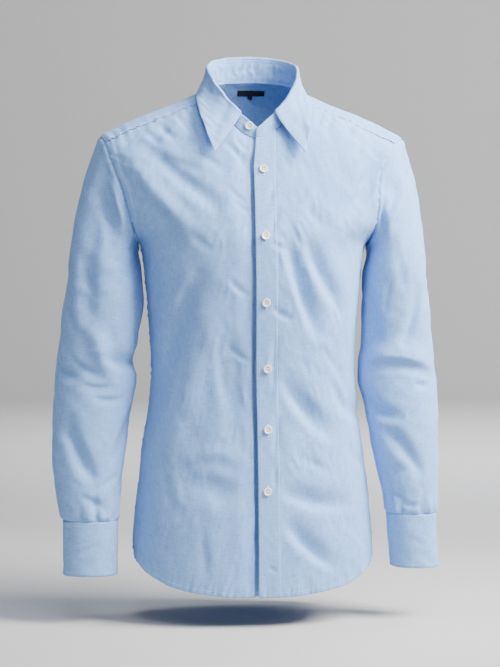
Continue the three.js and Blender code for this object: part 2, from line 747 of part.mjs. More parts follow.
// The edge of the neck opening, from the upper front's end round the back to the under front's end.
function neckEdge(fronts, yoke) {
  const top = fronts.left.points.length - 1;
  const inner = PLACKET_COLUMNS + NECK_COLUMNS;
  const left = frontNeckTurns(true).map((turn, j) => ({ turn, place: fronts.left.points[top][j] }));
  const around = yoke.points.at(-1).map((place, j) => ({ turn: yoke.turns[j], place }));
  const rightRow = fronts.right.points[top].slice(-inner - 1);
  const right = frontNeckTurns(false)
    .map((turn, j) => ({ turn: -turn, place: rightRow[inner - j] }))
    .reverse();
  return [...left.slice(0, -1), ...around, ...right.slice(1)];
}

// Seen from outside, the neck edge runs from the upper front's end to the wearer's left and round the back.
function makeStand(edge) {
  const ROUNDED = 3; // columns over which each end is rounded
  const rise = edge.map(({ turn }, k) => {
    const fromEnd = Math.min(k, edge.length - 1 - k) / ROUNDED;
    const rounding = fromEnd < 1 ? Math.sqrt(1 - (1 - fromEnd) ** 2 * 0.75) : 1;
    return neckline.height(Math.abs(turn)) * rounding;
  });
  const tops = edge.map((_, k) => standUp(edge[k].turn).multiplyScalar(rise[k]));
  const points = steps(3).map((t) =>
    edge.map(({ turn, place }, k) => {
      const bottom = place.clone().addScaledVector(standUp(turn), LAY);
      return bottom.addScaledVector(tops[k], t);
    }),
  );
  return makeGrid(points);
}

// The way up along the stand.
function standUp(turn) {
  const lean = radians(neckline.lean(Math.abs(turn)));
  return UP.clone().multiplyScalar(Math.cos(lean)).addScaledVector(neck(turn).out, Math.sin(lean));
}

// The leaf hangs outside the stand from a roll along its top. Its rows go up from the lower edge and over.
function makeLeaf(edge, stand) {
  const first = PLACKET_COLUMNS;
  const last = edge.length - PLACKET_COLUMNS;
  const fold = stand.points.at(-1);
  const columns = edge.slice(first, last).map(({ turn }, k) => {
    const side = turn < 0 ? -1 : 1;
    const corner = Math.abs(side > 0 ? edge[first].turn : edge[last - 1].turn);
    const at = Math.abs(turn) * (LEAF_POINT / corner);
    const shift = LEAF_SHIFT * Math.sin(Math.PI * Math.min(at / (LEAF_POINT - 10), 1));
    const low = vec(side * leafEdge.x(at) - shift, leafEdge.y(at), leafEdge.z(at));
    const { out } = neck(turn);
    const up = standUp(turn);
    const foot = fold[first + k].clone().addScaledVector(up, 2 * LAY);
    const from = (rise, away) => foot.clone().addScaledVector(up, rise).addScaledVector(out, away);
    const shoulder = from(ROLL * 0.35, ROLL);
    const length = shoulder.distanceTo(low);
    const leave = up.clone().multiplyScalar(-length);
    const arrive = low.clone().sub(shoulder).addScaledVector(out, 0.3 * length).setLength(length);
    const hanging = steps(5).map((t) => curvePoint(shoulder, leave, low, arrive, t));
    const over = [from(ROLL * 0.85, ROLL * 0.7), from(ROLL, 0), from(ROLL * 0.5, -BAND), from(0, -BAND)];
    return [...hanging.reverse(), ...over];
  });
  return makeGrid(columns[0].map((_, i) => columns.map((points) => points[i])));
}

// A four-hole button with a raised rim, lying on XY with its back at z = 0.
const BUTTON = { radius: 6.3, thickness: 2.5, hole: 0.95, spread: 1.55, segments: 16 };

function solidOf(geometry) {
  geometry.deleteAttribute("normal");
  geometry.deleteAttribute("uv");
  const merged = mergeVertices(geometry, 1e-4);
  return new wasm.Manifold(
    new wasm.Mesh({
      numProp: 3,
      vertProperties: new Float32Array(merged.attributes.position.array),
      triVerts: new Uint32Array(merged.index.array),
    }),
  );
}

function buttonGeometry() {
  const { radius, thickness, hole, spread, segments } = BUTTON;
  const profile = [
    [0, 0],
    [radius * 0.7, 0],
    [radius, thickness * 0.4],
    [radius * 0.96, thickness * 0.8],
    [radius * 0.82, thickness],
    [radius * 0.6, thickness * 0.72],
    [0, thickness * 0.62],
  ].map(([x, y]) => new THREE.Vector2(x, y));
  let solid = solidOf(new THREE.LatheGeometry(profile, segments).rotateX(Math.PI / 2));
  for (const x of [-spread, spread])
    for (const y of [-spread, spread]) {
      const drill = new THREE.CylinderGeometry(hole, hole, 3 * thickness, 6).rotateX(Math.PI / 2);
      solid = solid.subtract(solidOf(drill.translate(x, y, 0)));
    }
  const cut = solid.getMesh();
  const geometry = new THREE.BufferGeometry();
  geometry.setAttribute("position", new THREE.BufferAttribute(cut.vertProperties, 3));
  geometry.setIndex(new THREE.BufferAttribute(cut.triVerts, 1));
  return geometry;
}

// A place on a grid at given shares of the way up its rows and along its columns.
function onGrid(grid, row, col) {
  const i = Math.min(Math.floor(row), grid.points.length - 2);
  const j = Math.min(Math.floor(col), grid.points[0].length - 2);
  const mix = (list) => {
    const low = list[i][j].clone().lerp(list[i][j + 1], col - j);
    const high = list[i + 1][j].clone().lerp(list[i + 1][j + 1], col - j);
    return low.lerp(high, row - i);
  };
  return { place: mix(grid.points), normal: mix(grid.normals).normalize() };
}

// The place on a grid that is seen from the front at a given x and z, among the columns from first to last.
function seenAt(grid, x, z, first, last) {
  const zAt = (row) => onGrid(grid, row, (first + last) / 2).place.z;
  const find = (low, high, value, target) => {
    for (let k = 0; k < 30; k++) {
      const half = (low + high) / 2;
      if (value(half) < target) low = half;
      else high = half;
    }
    return (low + high) / 2;
  };
  let row = find(0, grid.points.length - 1.001, zAt, z);
  let col = 0;
  for (let k = 0; k < 3; k++) {
    col = find(first, last, (c) => onGrid(grid, row, c).place.x, x);
    row = find(0, grid.points.length - 1.001, (r) => onGrid(grid, r, col).place.z, z);
  }
  return onGrid(grid, row, col);
}

const cotton = (color, roughness) => ({ color, roughness, metalness: 0 });
const OXFORD = cotton(0xa9c4e6, 0.85);
const LABEL = cotton(0x121216, 0.7);
const RESIN = { color: 0xf1efec, roughness: 0.35, metalness: 0 };

const shirt = new THREE.Group();

function add(name, geometry, finish) {
  const piece = new THREE.Mesh(geometry, new THREE.MeshStandardMaterial(finish));
  piece.name = name;
  shirt.add(piece);
  return piece;
}

function addButton(name, { place, normal }, gap, size = 1) {
  const button = add(name, buttonGeometry(), RESIN);
  button.scale.setScalar(size);
  button.quaternion.setFromUnitVectors(UP, normal);
  button.position.copy(place).addScaledVector(normal, gap);
}

// A strip on the inside of the yoke at the back, below the middle of the neck seam. Its sizes are in
// millimetres along the cloth: left and right of the middle, and down from the seam.
function insideYoke(yoke, { left, right, top, bottom }) {
  const rows = yoke.points.length - 1;
  const middleColumn = (yoke.points[0].length - 1) / 2;
  const placeAt = (row, col) => onGrid(yoke, row, col).place;
  const rowHeight = placeAt(rows, middleColumn).distanceTo(placeAt(rows - 1, middleColumn));
  const at = (x, down) => {
    const row = rows - down / rowHeight;
    const pitch = placeAt(row, middleColumn).distanceTo(placeAt(row, middleColumn + 1));
    const { place, normal } = onGrid(yoke, row, middleColumn - x / pitch);
    return { point: place.addScaledVector(normal, -(CLOTH + LAY)), normal };
  };
  const spots = steps(1).map((v) => steps(4).map((u) => at(lerp(left, right, u), lerp(bottom, top, v))));
  return {
    points: spots.map((row) => row.map((spot) => spot.point)),
    normals: spots.map((row) => row.map((spot) => spot.normal)),
    wraps: false,
  };
}

const fronts = { left: makeFront(true), right: makeFront(false) };
const back = makeBack();
const sideEnd = fronts.left.points[0].length - 1;
for (let i = 0; i <= ARMPIT_ROW; i++) {
  back.points[i][0] = fronts.left.points[i][sideEnd];
  back.points[i][BACK_COLUMNS] = fronts.right.points[i][0];
}
const yoke = makeYoke(fronts, back);
const sleeves = {
  left: makeSleeve(SLEEVES.left, armholeLoop(true, fronts, back, yoke)),
  right: makeSleeve(SLEEVES.right, armholeLoop(false, fronts, back, yoke)),
};
const edge = neckEdge(fronts, yoke);
const stand = makeStand(edge);
const leaf = makeLeaf(edge, stand);
sew([fronts.left, fronts.right, back, yoke, sleeves.left, sleeves.right]);

add("front_left", wall(fronts.left, CLOTH), OXFORD);
add("front_right", wall(fronts.right, CLOTH), OXFORD);
add("back", wall(back, CLOTH), OXFORD);
add("yoke", wall(yoke, CLOTH), OXFORD);
add("collar_stand", wall(stand, BAND), OXFORD);
add("collar_leaf", wall(leaf, LEAF), OXFORD);

const topRow = fronts.left.points.length - 1;
const placket = patch(fronts.left, [0, topRow], [0, PLACKET_COLUMNS], LAY + STRIP);
add("placket", wall(placket, STRIP), OXFORD);

for (const name of ["left", "right"]) {
  const cuff = makeCuff(SLEEVES[name]);
  add(`sleeve_${name}`, wall(sleeves[name], CLOTH), OXFORD);
  add(`sleeve_placket_${name}`, wall(makeSlitStrip(sleeves[name]), STRIP), OXFORD);
  add(`cuff_${name}`, wall(cuff, BAND), OXFORD);
  const lapColumn = CUFF_COLUMNS * (1 - LAP / 2 / (360 + LAP));
  const spot = onGrid(cuff, 1.5, name === "left" ? lapColumn : CUFF_COLUMNS - lapColumn);
  addButton(`cuff_button_${name}`, spot, LAY + 0.4, 0.9);
}

const FRONT_BUTTONS = [-114.7, -214.6, -313.5, -411.7, -502.4, -593.9]; // heights
FRONT_BUTTONS.forEach((z, k) => {
  addButton(`button_${k + 2}`, seenAt(placket, middle.buttons(z), z, 0, PLACKET_COLUMNS), LAY);
});
const COLLAR_BUTTON = { x: -13, z: -49 };
const standEnd = edge.length - 1;
const collarSpot = seenAt(stand, COLLAR_BUTTON.x, COLLAR_BUTTON.z, standEnd - 5, standEnd);
addButton("button_1", collarSpot, LAY);

add("neck_label", wall(insideYoke(yoke, { left: 27, right: -16, top: 15, bottom: 26 }), STRIP), LABEL);
add("size_tab", wall(insideYoke(yoke, { left: 8, right: 1, top: 26.6, bottom: 33 }), STRIP), LABEL);

export default shirt;
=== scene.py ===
import math

import bpy
import numpy as np
from mathutils import Matrix, Vector


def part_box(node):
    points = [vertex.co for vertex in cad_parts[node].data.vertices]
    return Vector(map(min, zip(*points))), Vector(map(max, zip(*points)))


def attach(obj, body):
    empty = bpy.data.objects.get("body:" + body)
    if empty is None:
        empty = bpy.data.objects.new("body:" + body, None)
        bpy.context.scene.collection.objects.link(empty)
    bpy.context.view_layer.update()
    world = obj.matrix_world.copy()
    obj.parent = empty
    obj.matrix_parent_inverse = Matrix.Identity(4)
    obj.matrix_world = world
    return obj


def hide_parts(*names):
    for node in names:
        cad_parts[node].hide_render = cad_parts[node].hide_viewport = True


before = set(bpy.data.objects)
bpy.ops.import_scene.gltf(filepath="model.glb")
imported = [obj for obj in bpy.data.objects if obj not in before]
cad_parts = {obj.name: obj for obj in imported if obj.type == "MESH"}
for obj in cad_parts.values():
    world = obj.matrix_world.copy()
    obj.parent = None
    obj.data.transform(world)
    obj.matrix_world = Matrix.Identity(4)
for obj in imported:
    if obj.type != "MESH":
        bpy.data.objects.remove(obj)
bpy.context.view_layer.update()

# A long sleeve dress shirt, filled out as worn with nobody in it.
# The shape is worked out in millimetres, from the same tables as the CAD model, on grids of about 2.5 mm.
# +Z is up, the fronts face -Y and the wearer's left is +X.
MM = 0.001

# Cloth and gaps. Every sheet's outside lies where its solid's outside lies.
CLOTH = 0.7  # one layer of oxford, a little thicker than the real one
CUFF_CLOTH = 1.8  # two layers and an interlining
STAND_CLOTH = 1.8
LEAF_CLOTH = 1.5
STRIP = 0.8  # plackets and labels
LAY = 0.4  # gap under a piece that lies on another

# Heights and widths of the body.
BUST_TOP = -112  # up to here the body is made of level rings
HEM_TOP = -560  # down to here the rows of the body are level
ARMPIT = -226
SQUARENESS = 2.35  # 2 is an ellipse
PLACKET = 31
UNDER_DEPTH = 3.8  # how far the under front sits behind the placket
UNDER_REACH = 34  # the under front dips over this width

# Sleeves, cuffs and collar.
SLEEVE_HEAD = -270  # from here down the sleeve is made of level rings
SLEEVE_SQUARENESS = 2.15
CAP_TENSION = 0.66  # below 1 the sleeve's head swings out less
CAP_OUT = 0.62  # share by which the sleeve's head leaves the shoulder square to the seam
CAP_RISE = 70  # it reaches that share this far above the armpit
ARMPIT_OUT = 0.9  # at the armpit the sleeve runs out this much for 1 down
SLIT_TURN = 150  # the sleeve's slit above the cuff's lap
SLIT_REACH = 118
LAP = 30  # the cuff's lap, in degrees
NECK_SEAM_TURN = 112  # where the yoke's front seam meets the neckline
YOKE_CORNER_TURN = 74  # the neckline's turn above the yoke's back corners
ROLL = 4.2  # the collar leaf's roll stands this far above and outside the stand
LEAF_POINT = 160
LEAF_SHIFT = 3
NECK_PITCH = 1.32  # millimetres to a degree of turn along the neckline in front

# The body's columns are counted as on the CAD model: 3 on the placket, 4 below the neck and 8 below
# the shoulder.
PLACKET_END, NECK_END, SHOULDER_END = 3, 7, 15


def table(names, *rows):
    return {name: np.array([row[i] for row in rows], float) for i, name in enumerate(names.split())}


def smooth(value, low, high):
    t = np.clip((value - low) / (high - low), 0, 1)
    return t * t * (3 - 2 * t)


def lerp(a, b, t):
    return a + (b - a) * t


def hermite(start, leave, end, arrive, t):
    t2 = t * t
    t3 = t2 * t
    from_start = (2 * t3 - 3 * t2 + 1) * start + (t3 - 2 * t2 + t) * leave
    return from_start + (3 * t2 - 2 * t3) * end + (t3 - t2) * arrive


def column(x, y):
    """A smooth curve through a column of a table, with no overshoot between its rows."""
    slope = np.diff(y) / np.diff(x)
    before, after = slope[:-1], slope[1:]
    agree = before * after > 0
    inner = np.where(agree, 2 * before * after / np.where(agree, before + after, 1), 0)
    tangent = np.concatenate([slope[:1], inner, slope[-1:]])

    def at(value):
        value = np.clip(value, x[0], x[-1])
        i = np.clip(np.searchsorted(x, value, side="right") - 1, 0, len(x) - 2)
        span = x[i + 1] - x[i]
        return hermite(y[i], tangent[i] * span, y[i + 1], tangent[i + 1] * span, (value - x[i]) / span)

    return at


class Curves:
    """The columns of a table as smooth curves over its first column, which may fall or rise."""

    def __init__(self, names, *rows):
        rows = sorted(rows)
        columns = table(names, *rows)
        key, *others = columns
        for name in others:
            setattr(self, name, column(columns[key], columns[name]))


body = Curves(
    "z half_width front back",
    (-800, 187, 123, 124),
    (-700, 185, 122, 122),
    (-616, 179, 118, 117),
    (-542, 170, 113, 110),
    (-468, 160, 110, 104),
    (-407, 156, 113, 103),
    (-340, 160, 120, 110),
    (-280, 165, 125, 119),
    (-228, 172, 125, 125),
    (-190, 206, 118, 124),
    (-150, 228, 108, 118),
    (-112, 238, 96, 110),
    (-60, 238, 78, 100),
)

armhole = Curves(
    "z front back",
    (-226, 172, 172),
    (-215, 178, 180),
    (-200, 183, 187),
    (-180, 186, 193),
    (-145, 192, 201),
    (-112, 201, 206),
)

armhole_swing = Curves("z x", (-226, 0), (-185, 3.5), (-148, 8), (-110, 11), (-88, 9), (-70, 5.5))

middle = Curves(
    "z edge under_edge buttons",
    (-760, -3, 26, 10),
    (-594, -3, 26, 10),
    (-500, -4, 26, 11),
    (-412, -6, 25, 10),
    (-300, -7, 23, 7),
    (-215, -8, 21, 6),
    (-115, -8, 20, 6),
    (-100, -7, 17, 6),
    (-84, -1, 10, 6),
    (-67, -3, 4, 6),
)

hem = Curves(
    "turn front back",
    (0, -751, -766),
    (20, -750, -765),
    (40, -745, -759),
    (54, -737, -749),
    (62, -728, -739),
    (70, -718, -726),
    (78, -707, -712),
    (84, -694, -696),
    (90, -668, -668),
)

neckline = Curves(
    "turn x y z tilt height lean",
    (-30, -34, 59, 26, 52, 36, -5),
    (0, 0, 65, 28, 48, 36.5, -6),
    (30, 34, 59, 26, 52, 36, -5),
    (60, 60, 36, 20, 62, 34, -3),
    (90, 69, 4, 11, 72, 32, -2),
    (115, 64, -28, -5, 66, 30, 0),
    (140, 47, -58, -34, 45, 27, 0),
    (160, 25, -75, -56, 30, 25, -4),
    (180, 0, -81, -67, 24, 24, -4),
    (200, -26, -79, -65, 24, 24, -4),
)

leaf_edge = Curves(
    "turn x y z",
    (-30, -41, 73, 20),
    (0, 0, 82, 21),
    (30, 41, 73, 20),
    (60, 71, 45, 17),
    (75, 80, 23, 13),
    (90, 84, -4, 6),
    (105, 87, -37, -7),
    (120, 84, -67, -31),
    (135, 78, -88, -54),
    (148, 72, -97, -75),
    (160, 68, -105, -89),
)

# The shoulder's corners: the outer end of the yoke's front seam, and two places on the armhole behind it.
SHOULDER_PLACES = np.array([(219, -31, -70), (231, 4, -60), (222, 45, -76)], float)
SHOULDER_NORMALS = np.array([(0.42, -0.42, 0.8), (0.53, -0.02, 0.85), (0.42, 0.45, 0.78)])

RINGS = {
    "left": Curves(
        "z x y half_width half_depth",
        (-717, 246.5, -37, 37.2, 37.5),
        (-637, 241.5, -34, 38.2, 38),
        (-627, 241.5, -33, 40.5, 41),
        (-598, 239.5, -31, 43.5, 43),
        (-550, 234.7, -27, 50, 46),
        (-502, 231, -22, 54.5, 49),
        (-466, 228, -17, 57, 51),
        (-436, 223, -13, 60.5, 52),
        (-405, 222, -10, 58.5, 53),
        (-380, 223, -8, 55.5, 54),
        (-331, 222, -6, 52.5, 60),
        (-270, 220, -4, 48.5, 64),
    ),
    "right": Curves(
        "z x y half_width half_depth",
        (-723, 250.5, -38, 41.3, 34),
        (-643, 250, -35, 42, 34),
        (-632, 251, -34, 45, 37),
        (-603, 253, -31, 49, 40),
        (-570, 253.5, -28, 52.8, 42),
        (-535, 251.8, -25, 55.8, 44),
        (-496, 249, -20, 58, 47),
        (-463, 245.5, -16, 60, 50),
        (-427, 240.7, -12, 62, 52),
        (-402, 242, -10, 58, 54),
        (-370, 236, -8, 59.5, 57),
        (-343, 233, -6, 60, 60),
        (-306, 231, -5, 57, 63),
        (-270, 230, -4, 52, 65),
    ),
}
CUFF_TOP = {"left": -637, "right": -643}
CUFF_BOTTOM = {"left": -717, "right": -723}

# The large folds, as on the CAD model. A fold runs from one place to another, bows sideways, and is a trough
# where its depth is negative. Its steep side is on the right of its run where lean is above zero.
FOLD = "u0 z0 u1 z1 bow width depth lean"
FRONT_FOLDS = table(
    FOLD,
    (-212, -68, -92, -216, 6, 14, 3.8, 0),
    (-188, -58, -50, -180, 4, 13, -4, 0),
    (-176, -170, -116, -246, -6, 18, -2.6, 0),
    (-88, -262, -142, -418, 8, 12, -7, 0.4),
    (-62, -300, -166, -590, -6, 24, 6, 0),
    (-38, -350, -30, -560, 6, 17, -4, 0),
    (-128, -566, -8, -596, 8, 24, -4, 0),
    (198, -84, 140, -190, -5, 16, -4.5, 0),
    (36, -206, 92, -376, 5, 12, -7.4, 0.3),
    (62, -207, 132, -334, 6, 12, -6, 0.2),
    (30, -420, 118, -522, 8, 14, -6.8, 0.3),
    (112, -432, 158, -496, 5, 11, -5.4, 0.1),
    (28, -590, 142, -618, 8, 15, -5.6, 0.2),
    (36, -636, 124, -716, 8, 13, -6, 0.3),
)
BACK_FOLDS = table(
    FOLD,
    (-60, -150, -130, -330, 8, 20, -5, 0),
    (60, -150, 136, -330, -8, 20, -5, 0),
    (-26, -250, -20, -470, 10, 18, -5, 0.2),
    (30, -300, 34, -560, -8, 20, -5, 0),
    (-140, -400, -60, -470, 8, 15, -4.5, 0.3),
    (142, -410, 58, -490, -8, 15, -4.5, 0),
    (-96, -540, -104, -720, 6, 22, -4.5, 0),
    (90, -560, 100, -720, -6, 22, -4.5, 0),
)
# On a sleeve the way round is measured in degrees, close to a millimetre each. 0 is in front, 90 on the
# outer side and -90 beside the body.
SLEEVE_FOLDS = {
    "left": table(
        FOLD,
        (10, -126, -58, -214, 9, 10, -7.5, 0),
        (23, -142, -19, -210, 7.5, 9, 4.5, 0),
        (25, -277, -5, -381, -9, 10, -4.5, 0),
        (-50, -290, -46, -388, 0, 14, -4, 0),
        (-64, -401, 58, -415, -12, 11, 4.4, 0.5),
        (-60, -419, 62, -432, -12, 9, -1.6, 0.2),
        (-76, -462, -6, -490, 6, 12, -4.5, 0),
        (-56, -496, 20, -580, -6, 14, -4.5, 0),
        (110, -150, 128, -330, 8, 15, -4.5, 0),
        (176, -190, 214, -360, -8, 15, -4.5, 0),
        (118, -400, 220, -436, 8, 12, -4.5, 0),
        (120, -480, 190, -520, 6, 12, -4.5, 0),
    ),
    "right": table(
        FOLD,
        (19, -154, 16, -400, -4.5, 15, -3.4, 0),
        (-3, -112, -49, -230, 7.5, 9, 6, 0),
        (262, -206, 264, -352, 0, 18, 4.6, 0),
        (36, -332, -28, -440, 8, 15, 4.5, 0),
        (-90, -404, -6, -392, 8, 10, -4.2, 0.3),
        (20, -424, 84, -404, 6, 12, -4.5, 0),
        (50, -480, -20, -588, -8, 15, -5, 0),
        (-80, -470, -40, -560, 6, 13, -4, 0),
        (112, -150, 130, -330, 8, 15, -4.5, 0),
        (178, -200, 216, -360, -8, 15, -4.5, 0),
        (120, -404, 222, -440, 8, 12, -4.5, 0),
        (122, -490, 196, -530, 6, 12, -4.5, 0),
    ),
}

# The folds of the sleeve's head, on its front half. Here a place is given by X and Z, as seen from the
# front, with X counted away from the middle on both sleeves.
HEAD_FOLDS = {
    "left": table(
        FOLD,
        (226, -126, 182, -216, 5, 8, -6.5, 0),
        (238, -130, 197, -224, 5, 8, 4.5, 0),
        (252, -150, 226, -260, 4, 11, -3, 0),
    ),
    "right": table(
        FOLD,
        (222, -124, 201, -216, 5, 7, 6, 0),
        (208, -118, 189, -206, 4, 6, -5.5, 0),
        (240, -136, 216, -240, 5, 10, -4.5, 0),
    ),
}

# The folds are a little deeper and crisper here than on the CAD model.
FOLD_DEPTH = 1.5
SLEEVE_FOLD_DEPTH = 1.12 * FOLD_DEPTH
HEAD_FOLD_DEPTH = 1.2
CREASE_DEPTH = 1.25
BAND_HEIGHT = 0.8  # the felled armhole seam's band stands this far up

# The smaller creases that only this model has.
FRONT_CREASES = table(
    FOLD,
    (-150, -40, -118, -72, 3, 6, -2.2, 0),
    (-128, -24, -100, -66, -3, 6, -2.4, 0.3),
    (-104, -20, -86, -70, 3, 6, -2.2, 0),
    (-172, -50, -140, -80, 2, 6, -1.6, 0),
    (-49, -139, -16, -169, 3, 5, -1.3, 0),
    (-43, -156, -14, -181, 3, 5, -1.2, 0),
    (-53, -72, -20, -114, -3, 6, -1.8, 0.2),
    (-36, -64, -16, -88, 1.5, 5, -1.4, 0),
    (-49, -276, -16, -306, 3, 6, -2, 0.2),
    (-116, -373, -165, -534, -9, 8, 2.6, -0.3),
    (-58, -377, -49, -466, 3, 8, -2.4, 0),
    (-49, -377, -13, -402, 3, 5, -1.7, 0.2),
    (-26, -429, -17, -476, 2.2, 6, 1.3, 0),
    (-118, -553, -13, -568, -6, 12, -2.2, 0),
    (-85, -642, -78, -728, 3, 8, -1.8, 0),
    (-147, -506, -124, -640, 6, 10, -1.6, 0),
    (-135, -100, -81, -125, -3, 8, -1.6, 0),
    (-103, -86, -50, -120, -3, 7, -1.5, 0),
    (-159, -160, -124, -208, 3, 8, -1.4, 0),
    (-109, -200, -66, -239, 4.5, 8, -1.5, 0),
    (87, -15, 73, -47, 1.5, 5, -1.8, 0),
    (102, -21, 88, -51, -1.5, 5, -2, 0),
    (121, -28, 107, -54, 1.5, 5, -1.7, 0),
    (152, -41, 139, -68, 1.5, 6, -1.8, 0),
    (193, -57, 166, -84, 1.5, 6, -2.2, 0),
    (180, -52, 160, -75, -1.5, 5, -1.5, 0),
    (188, -66, 122, -200, -6, 13, -5.5, 0),
    (172, -60, 150, -96, 3, 8, -2, 0),
    (26, -129, 12, -171, 1.5, 5, -1.4, 0),
    (29, -169, 13, -220, 1.5, 6, -1.5, 0),
    (13, -224, 43, -237, 1.5, 5, -1.5, 0.2),
    (15, -318, 49, -340, 3, 6, -2, 0.2),
    (93, -378, 152, -497, -9, 8, -2.4, 0.2),
    (10, -704, 27, -713, 1.5, 4, -1.2, 0),
    (23, -355, 20, -447, 1.5, 6, -1.6, 0),
    (24, -477, 20, -540, -1.5, 6, -1.7, 0),
    (23, -557, 21, -590, 0.8, 5, -1.4, 0),
    (62, -542, 109, -565, 3, 7, -1.5, 0),
    (62, -161, 109, -208, 4.5, 9, -1.6, 0),
    (43, -194, 62, -236, 1.5, 6, -1.2, 0),
    (133, -521, 175, -567, 4.5, 8, -1.8, 0),
)
BACK_CREASES = table(
    FOLD,
    (-40, -560, 30, -600, 6, 12, -1.6, 0),
    (-150, -250, -110, -300, 4, 9, -2, 0),
    (150, -236, 104, -306, -4, 9, -2.2, 0),
    (-30, -120, -44, -210, 4, 9, -1.6, 0),
    (24, -128, 40, -236, -3, 8, -1.8, 0.2),
    (-8, -140, -2, -290, 3, 8, -1.6, 0),
    (-120, -356, -52, -392, 4, 7, -2, 0.2),
    (118, -372, 48, -396, -4, 7, -2.2, 0.2),
    (-64, -430, 10, -452, 4, 7, -1.8, 0),
    (96, -452, 150, -470, 3, 6, -1.6, 0),
    (-150, -470, -100, -500, 3, 7, -1.8, 0),
    (-20, -600, -26, -720, 3, 9, -1.8, 0),
    (42, -610, 36, -730, -3, 9, -1.6, 0),
    (-126, -600, -140, -700, 3, 8, -1.6, 0),
    (140, -590, 146, -700, -3, 8, -1.8, 0),
    (60, -90, 96, -150, 3, 8, -1.6, 0),
    (-70, -92, -104, -160, -3, 8, -1.8, 0),
)
# Nearly the same behind on both sleeves, where nothing is seen in the photograph.
BEHIND = (
    (100, -220, 122, -300, 4, 8, -1.8, 0),
    (140, -240, 150, -350, 3, 8, -1.8, 0),
    (150, -372, 236, -384, 6, 7, -2.4, 0.3),
    (106, -424, 150, -448, 4, 6, -2.2, 0.2),
    (196, -452, 240, -470, 4, 7, -2, 0),
    (110, -536, 176, -560, -5, 8, -2.6, 0.2),
    (200, -560, 238, -600, 4, 7, -2, 0),
    (96, -590, 128, -616, 3, 6, -1.8, 0),
)
SLEEVE_CREASES = {
    "left": table(
        FOLD,
        *BEHIND,
        (-13, -276, -29, -335, 1.5, 5, -2, 0),
        (17, -437, 52, -440, 1.5, 6, -2.6, 0),
        (-5, -561, -59, -594, 4.5, 9, -3.4, -0.3),
        (-65, -597, -17, -615, 1.5, 5, -2, 0),
        (-34, -619, 14, -622, 1.5, 5, -1.8, 0),
        (-4, -213, 8, -310, 3, 8, -1.5, 0),
    ),
    "right": table(
        FOLD,
        *BEHIND,
        (9, -71, 32, -101, -1.5, 4, -1.5, 0),
        (5, -74, 23, -104, -1.5, 4, -1.6, 0),
        (2, -77, 14, -107, -1.5, 4, -1.5, 0),
        (-24, -122, -73, -223, 4.5, 8, -5, 0),
        (58, -190, 35, -378, 0, 14, 1.8, 0),
        (46, -393, -3, -423, -3, 8, -3.4, 0.3),
        (26, -434, -29, -439, -4.5, 6, -2.6, 0.3),
        (6, -454, -54, -457, -4.5, 6, -2.6, 0.2),
        (23, -600, -41, -619, -3, 8, -3, 0.2),
        (-4, -597, -64, -570, -3, 6, -2.2, 0),
        (38, -235, 7, -310, -4.5, 8, -1.6, 0),
        (65, -310, 26, -371, -3, 8, -1.5, 0),
    ),
}


def fold_height(u, z, folds):
    """How far the folds move the cloth out, from its place in the folds' own plane."""
    height = np.zeros(np.broadcast(u, z).shape)
    for u0, z0, u1, z1, bow, width, depth, lean in zip(*folds.values()):
        length = math.hypot(u1 - u0, z1 - z0)
        along_u, along_z = (u1 - u0) / length, (z1 - z0) / length
        t = np.clip(((u - u0) * along_u + (z - z0) * along_z) / length, 0, 1)
        off = (u - u0) * along_z - (z - z0) * along_u - bow * 4 * t * (1 - t)
        q = off / width
        q = q * (1 + lean * np.tanh(2 * q))
        height += depth * np.sin(np.pi * t) * (1 - 0.55 * q * q) * np.exp(-0.8 * q * q)
    return height


def round_fold_height(turn, z, folds):
    return sum(fold_height(turn + lap, z, folds) for lap in (-360, 0, 360))


def waves(u, v, length, seed, stretch=1.0, count=28):
    """Soft uneven ground of about unit height. Its bumps are a length long along u, and longer along v."""
    source = np.random.default_rng(seed)
    total = np.zeros(np.broadcast(u, v).shape)
    for _ in range(count):
        angle = source.uniform(0, 2 * np.pi)
        rate = 2 * np.pi / (length * source.uniform(0.7, 1.8))
        phase = source.uniform(0, 2 * np.pi)
        total += np.sin(rate * (np.cos(angle) * u + np.sin(angle) * v / stretch) + phase)
    return total / math.sqrt(count / 2)


def crumple(u, v, length, seed, turn=0.0, stretch=2.2):
    """Worn cloth's fine soft creases. They run along a direction, stronger in some places than in others."""
    c, s = math.cos(math.radians(turn)), math.sin(math.radians(turn))
    across, along = u * c + v * s, v * c - u * s
    lines = 0.75 - np.sqrt(waves(across, along, length, seed, stretch) ** 2 + 0.05)
    strength = 0.6 + 0.5 * waves(u, v, 4 * length, seed + 1)
    return lines * np.clip(strength, 0.1, 1.3)


def seam_band(away):
    """The raised band beside a felled armhole seam, 9 mm wide."""
    return smooth(away, 0.4, 1.4) - smooth(away, 8.8, 10.2)


def ripple(s, pitch, seed, count=9):
    """An uneven wave along a line, of about unit height."""
    source = np.random.default_rng(seed)
    total = np.zeros(np.shape(s))
    for _ in range(count):
        rate = 2 * np.pi / (pitch * source.uniform(0.7, 1.7))
        total += np.sin(rate * s + source.uniform(0, 2 * np.pi))
    return total / math.sqrt(count / 2)


def puckers(away, along, pitch, depth, seed):
    """The short creases that a sewn seam gathers. They merge into longer and wider ones away from it."""
    fine = ripple(along, pitch, seed) * np.exp(-away / (1.1 * pitch))
    broad = ripple(along, 2.4 * pitch, seed + 1) * np.exp(-away / (2.6 * pitch)) * (1 - np.exp(-away / pitch))
    return depth * (fine + broad)


def unit(v):
    return v / np.maximum(np.linalg.norm(v, axis=-1, keepdims=True), 1e-9)


def dot(a, b):
    return np.sum(a * b, axis=-1, keepdims=True)


def grid_normals(points, wraps=False):
    if wraps:
        across = np.roll(points, -1, 1) - np.roll(points, 1, 1)
    else:
        across = np.gradient(points, axis=1)
    return unit(np.cross(across, np.gradient(points, axis=0)))


def moved(points, amount, wraps=False):
    return points + grid_normals(points, wraps) * amount[..., None]


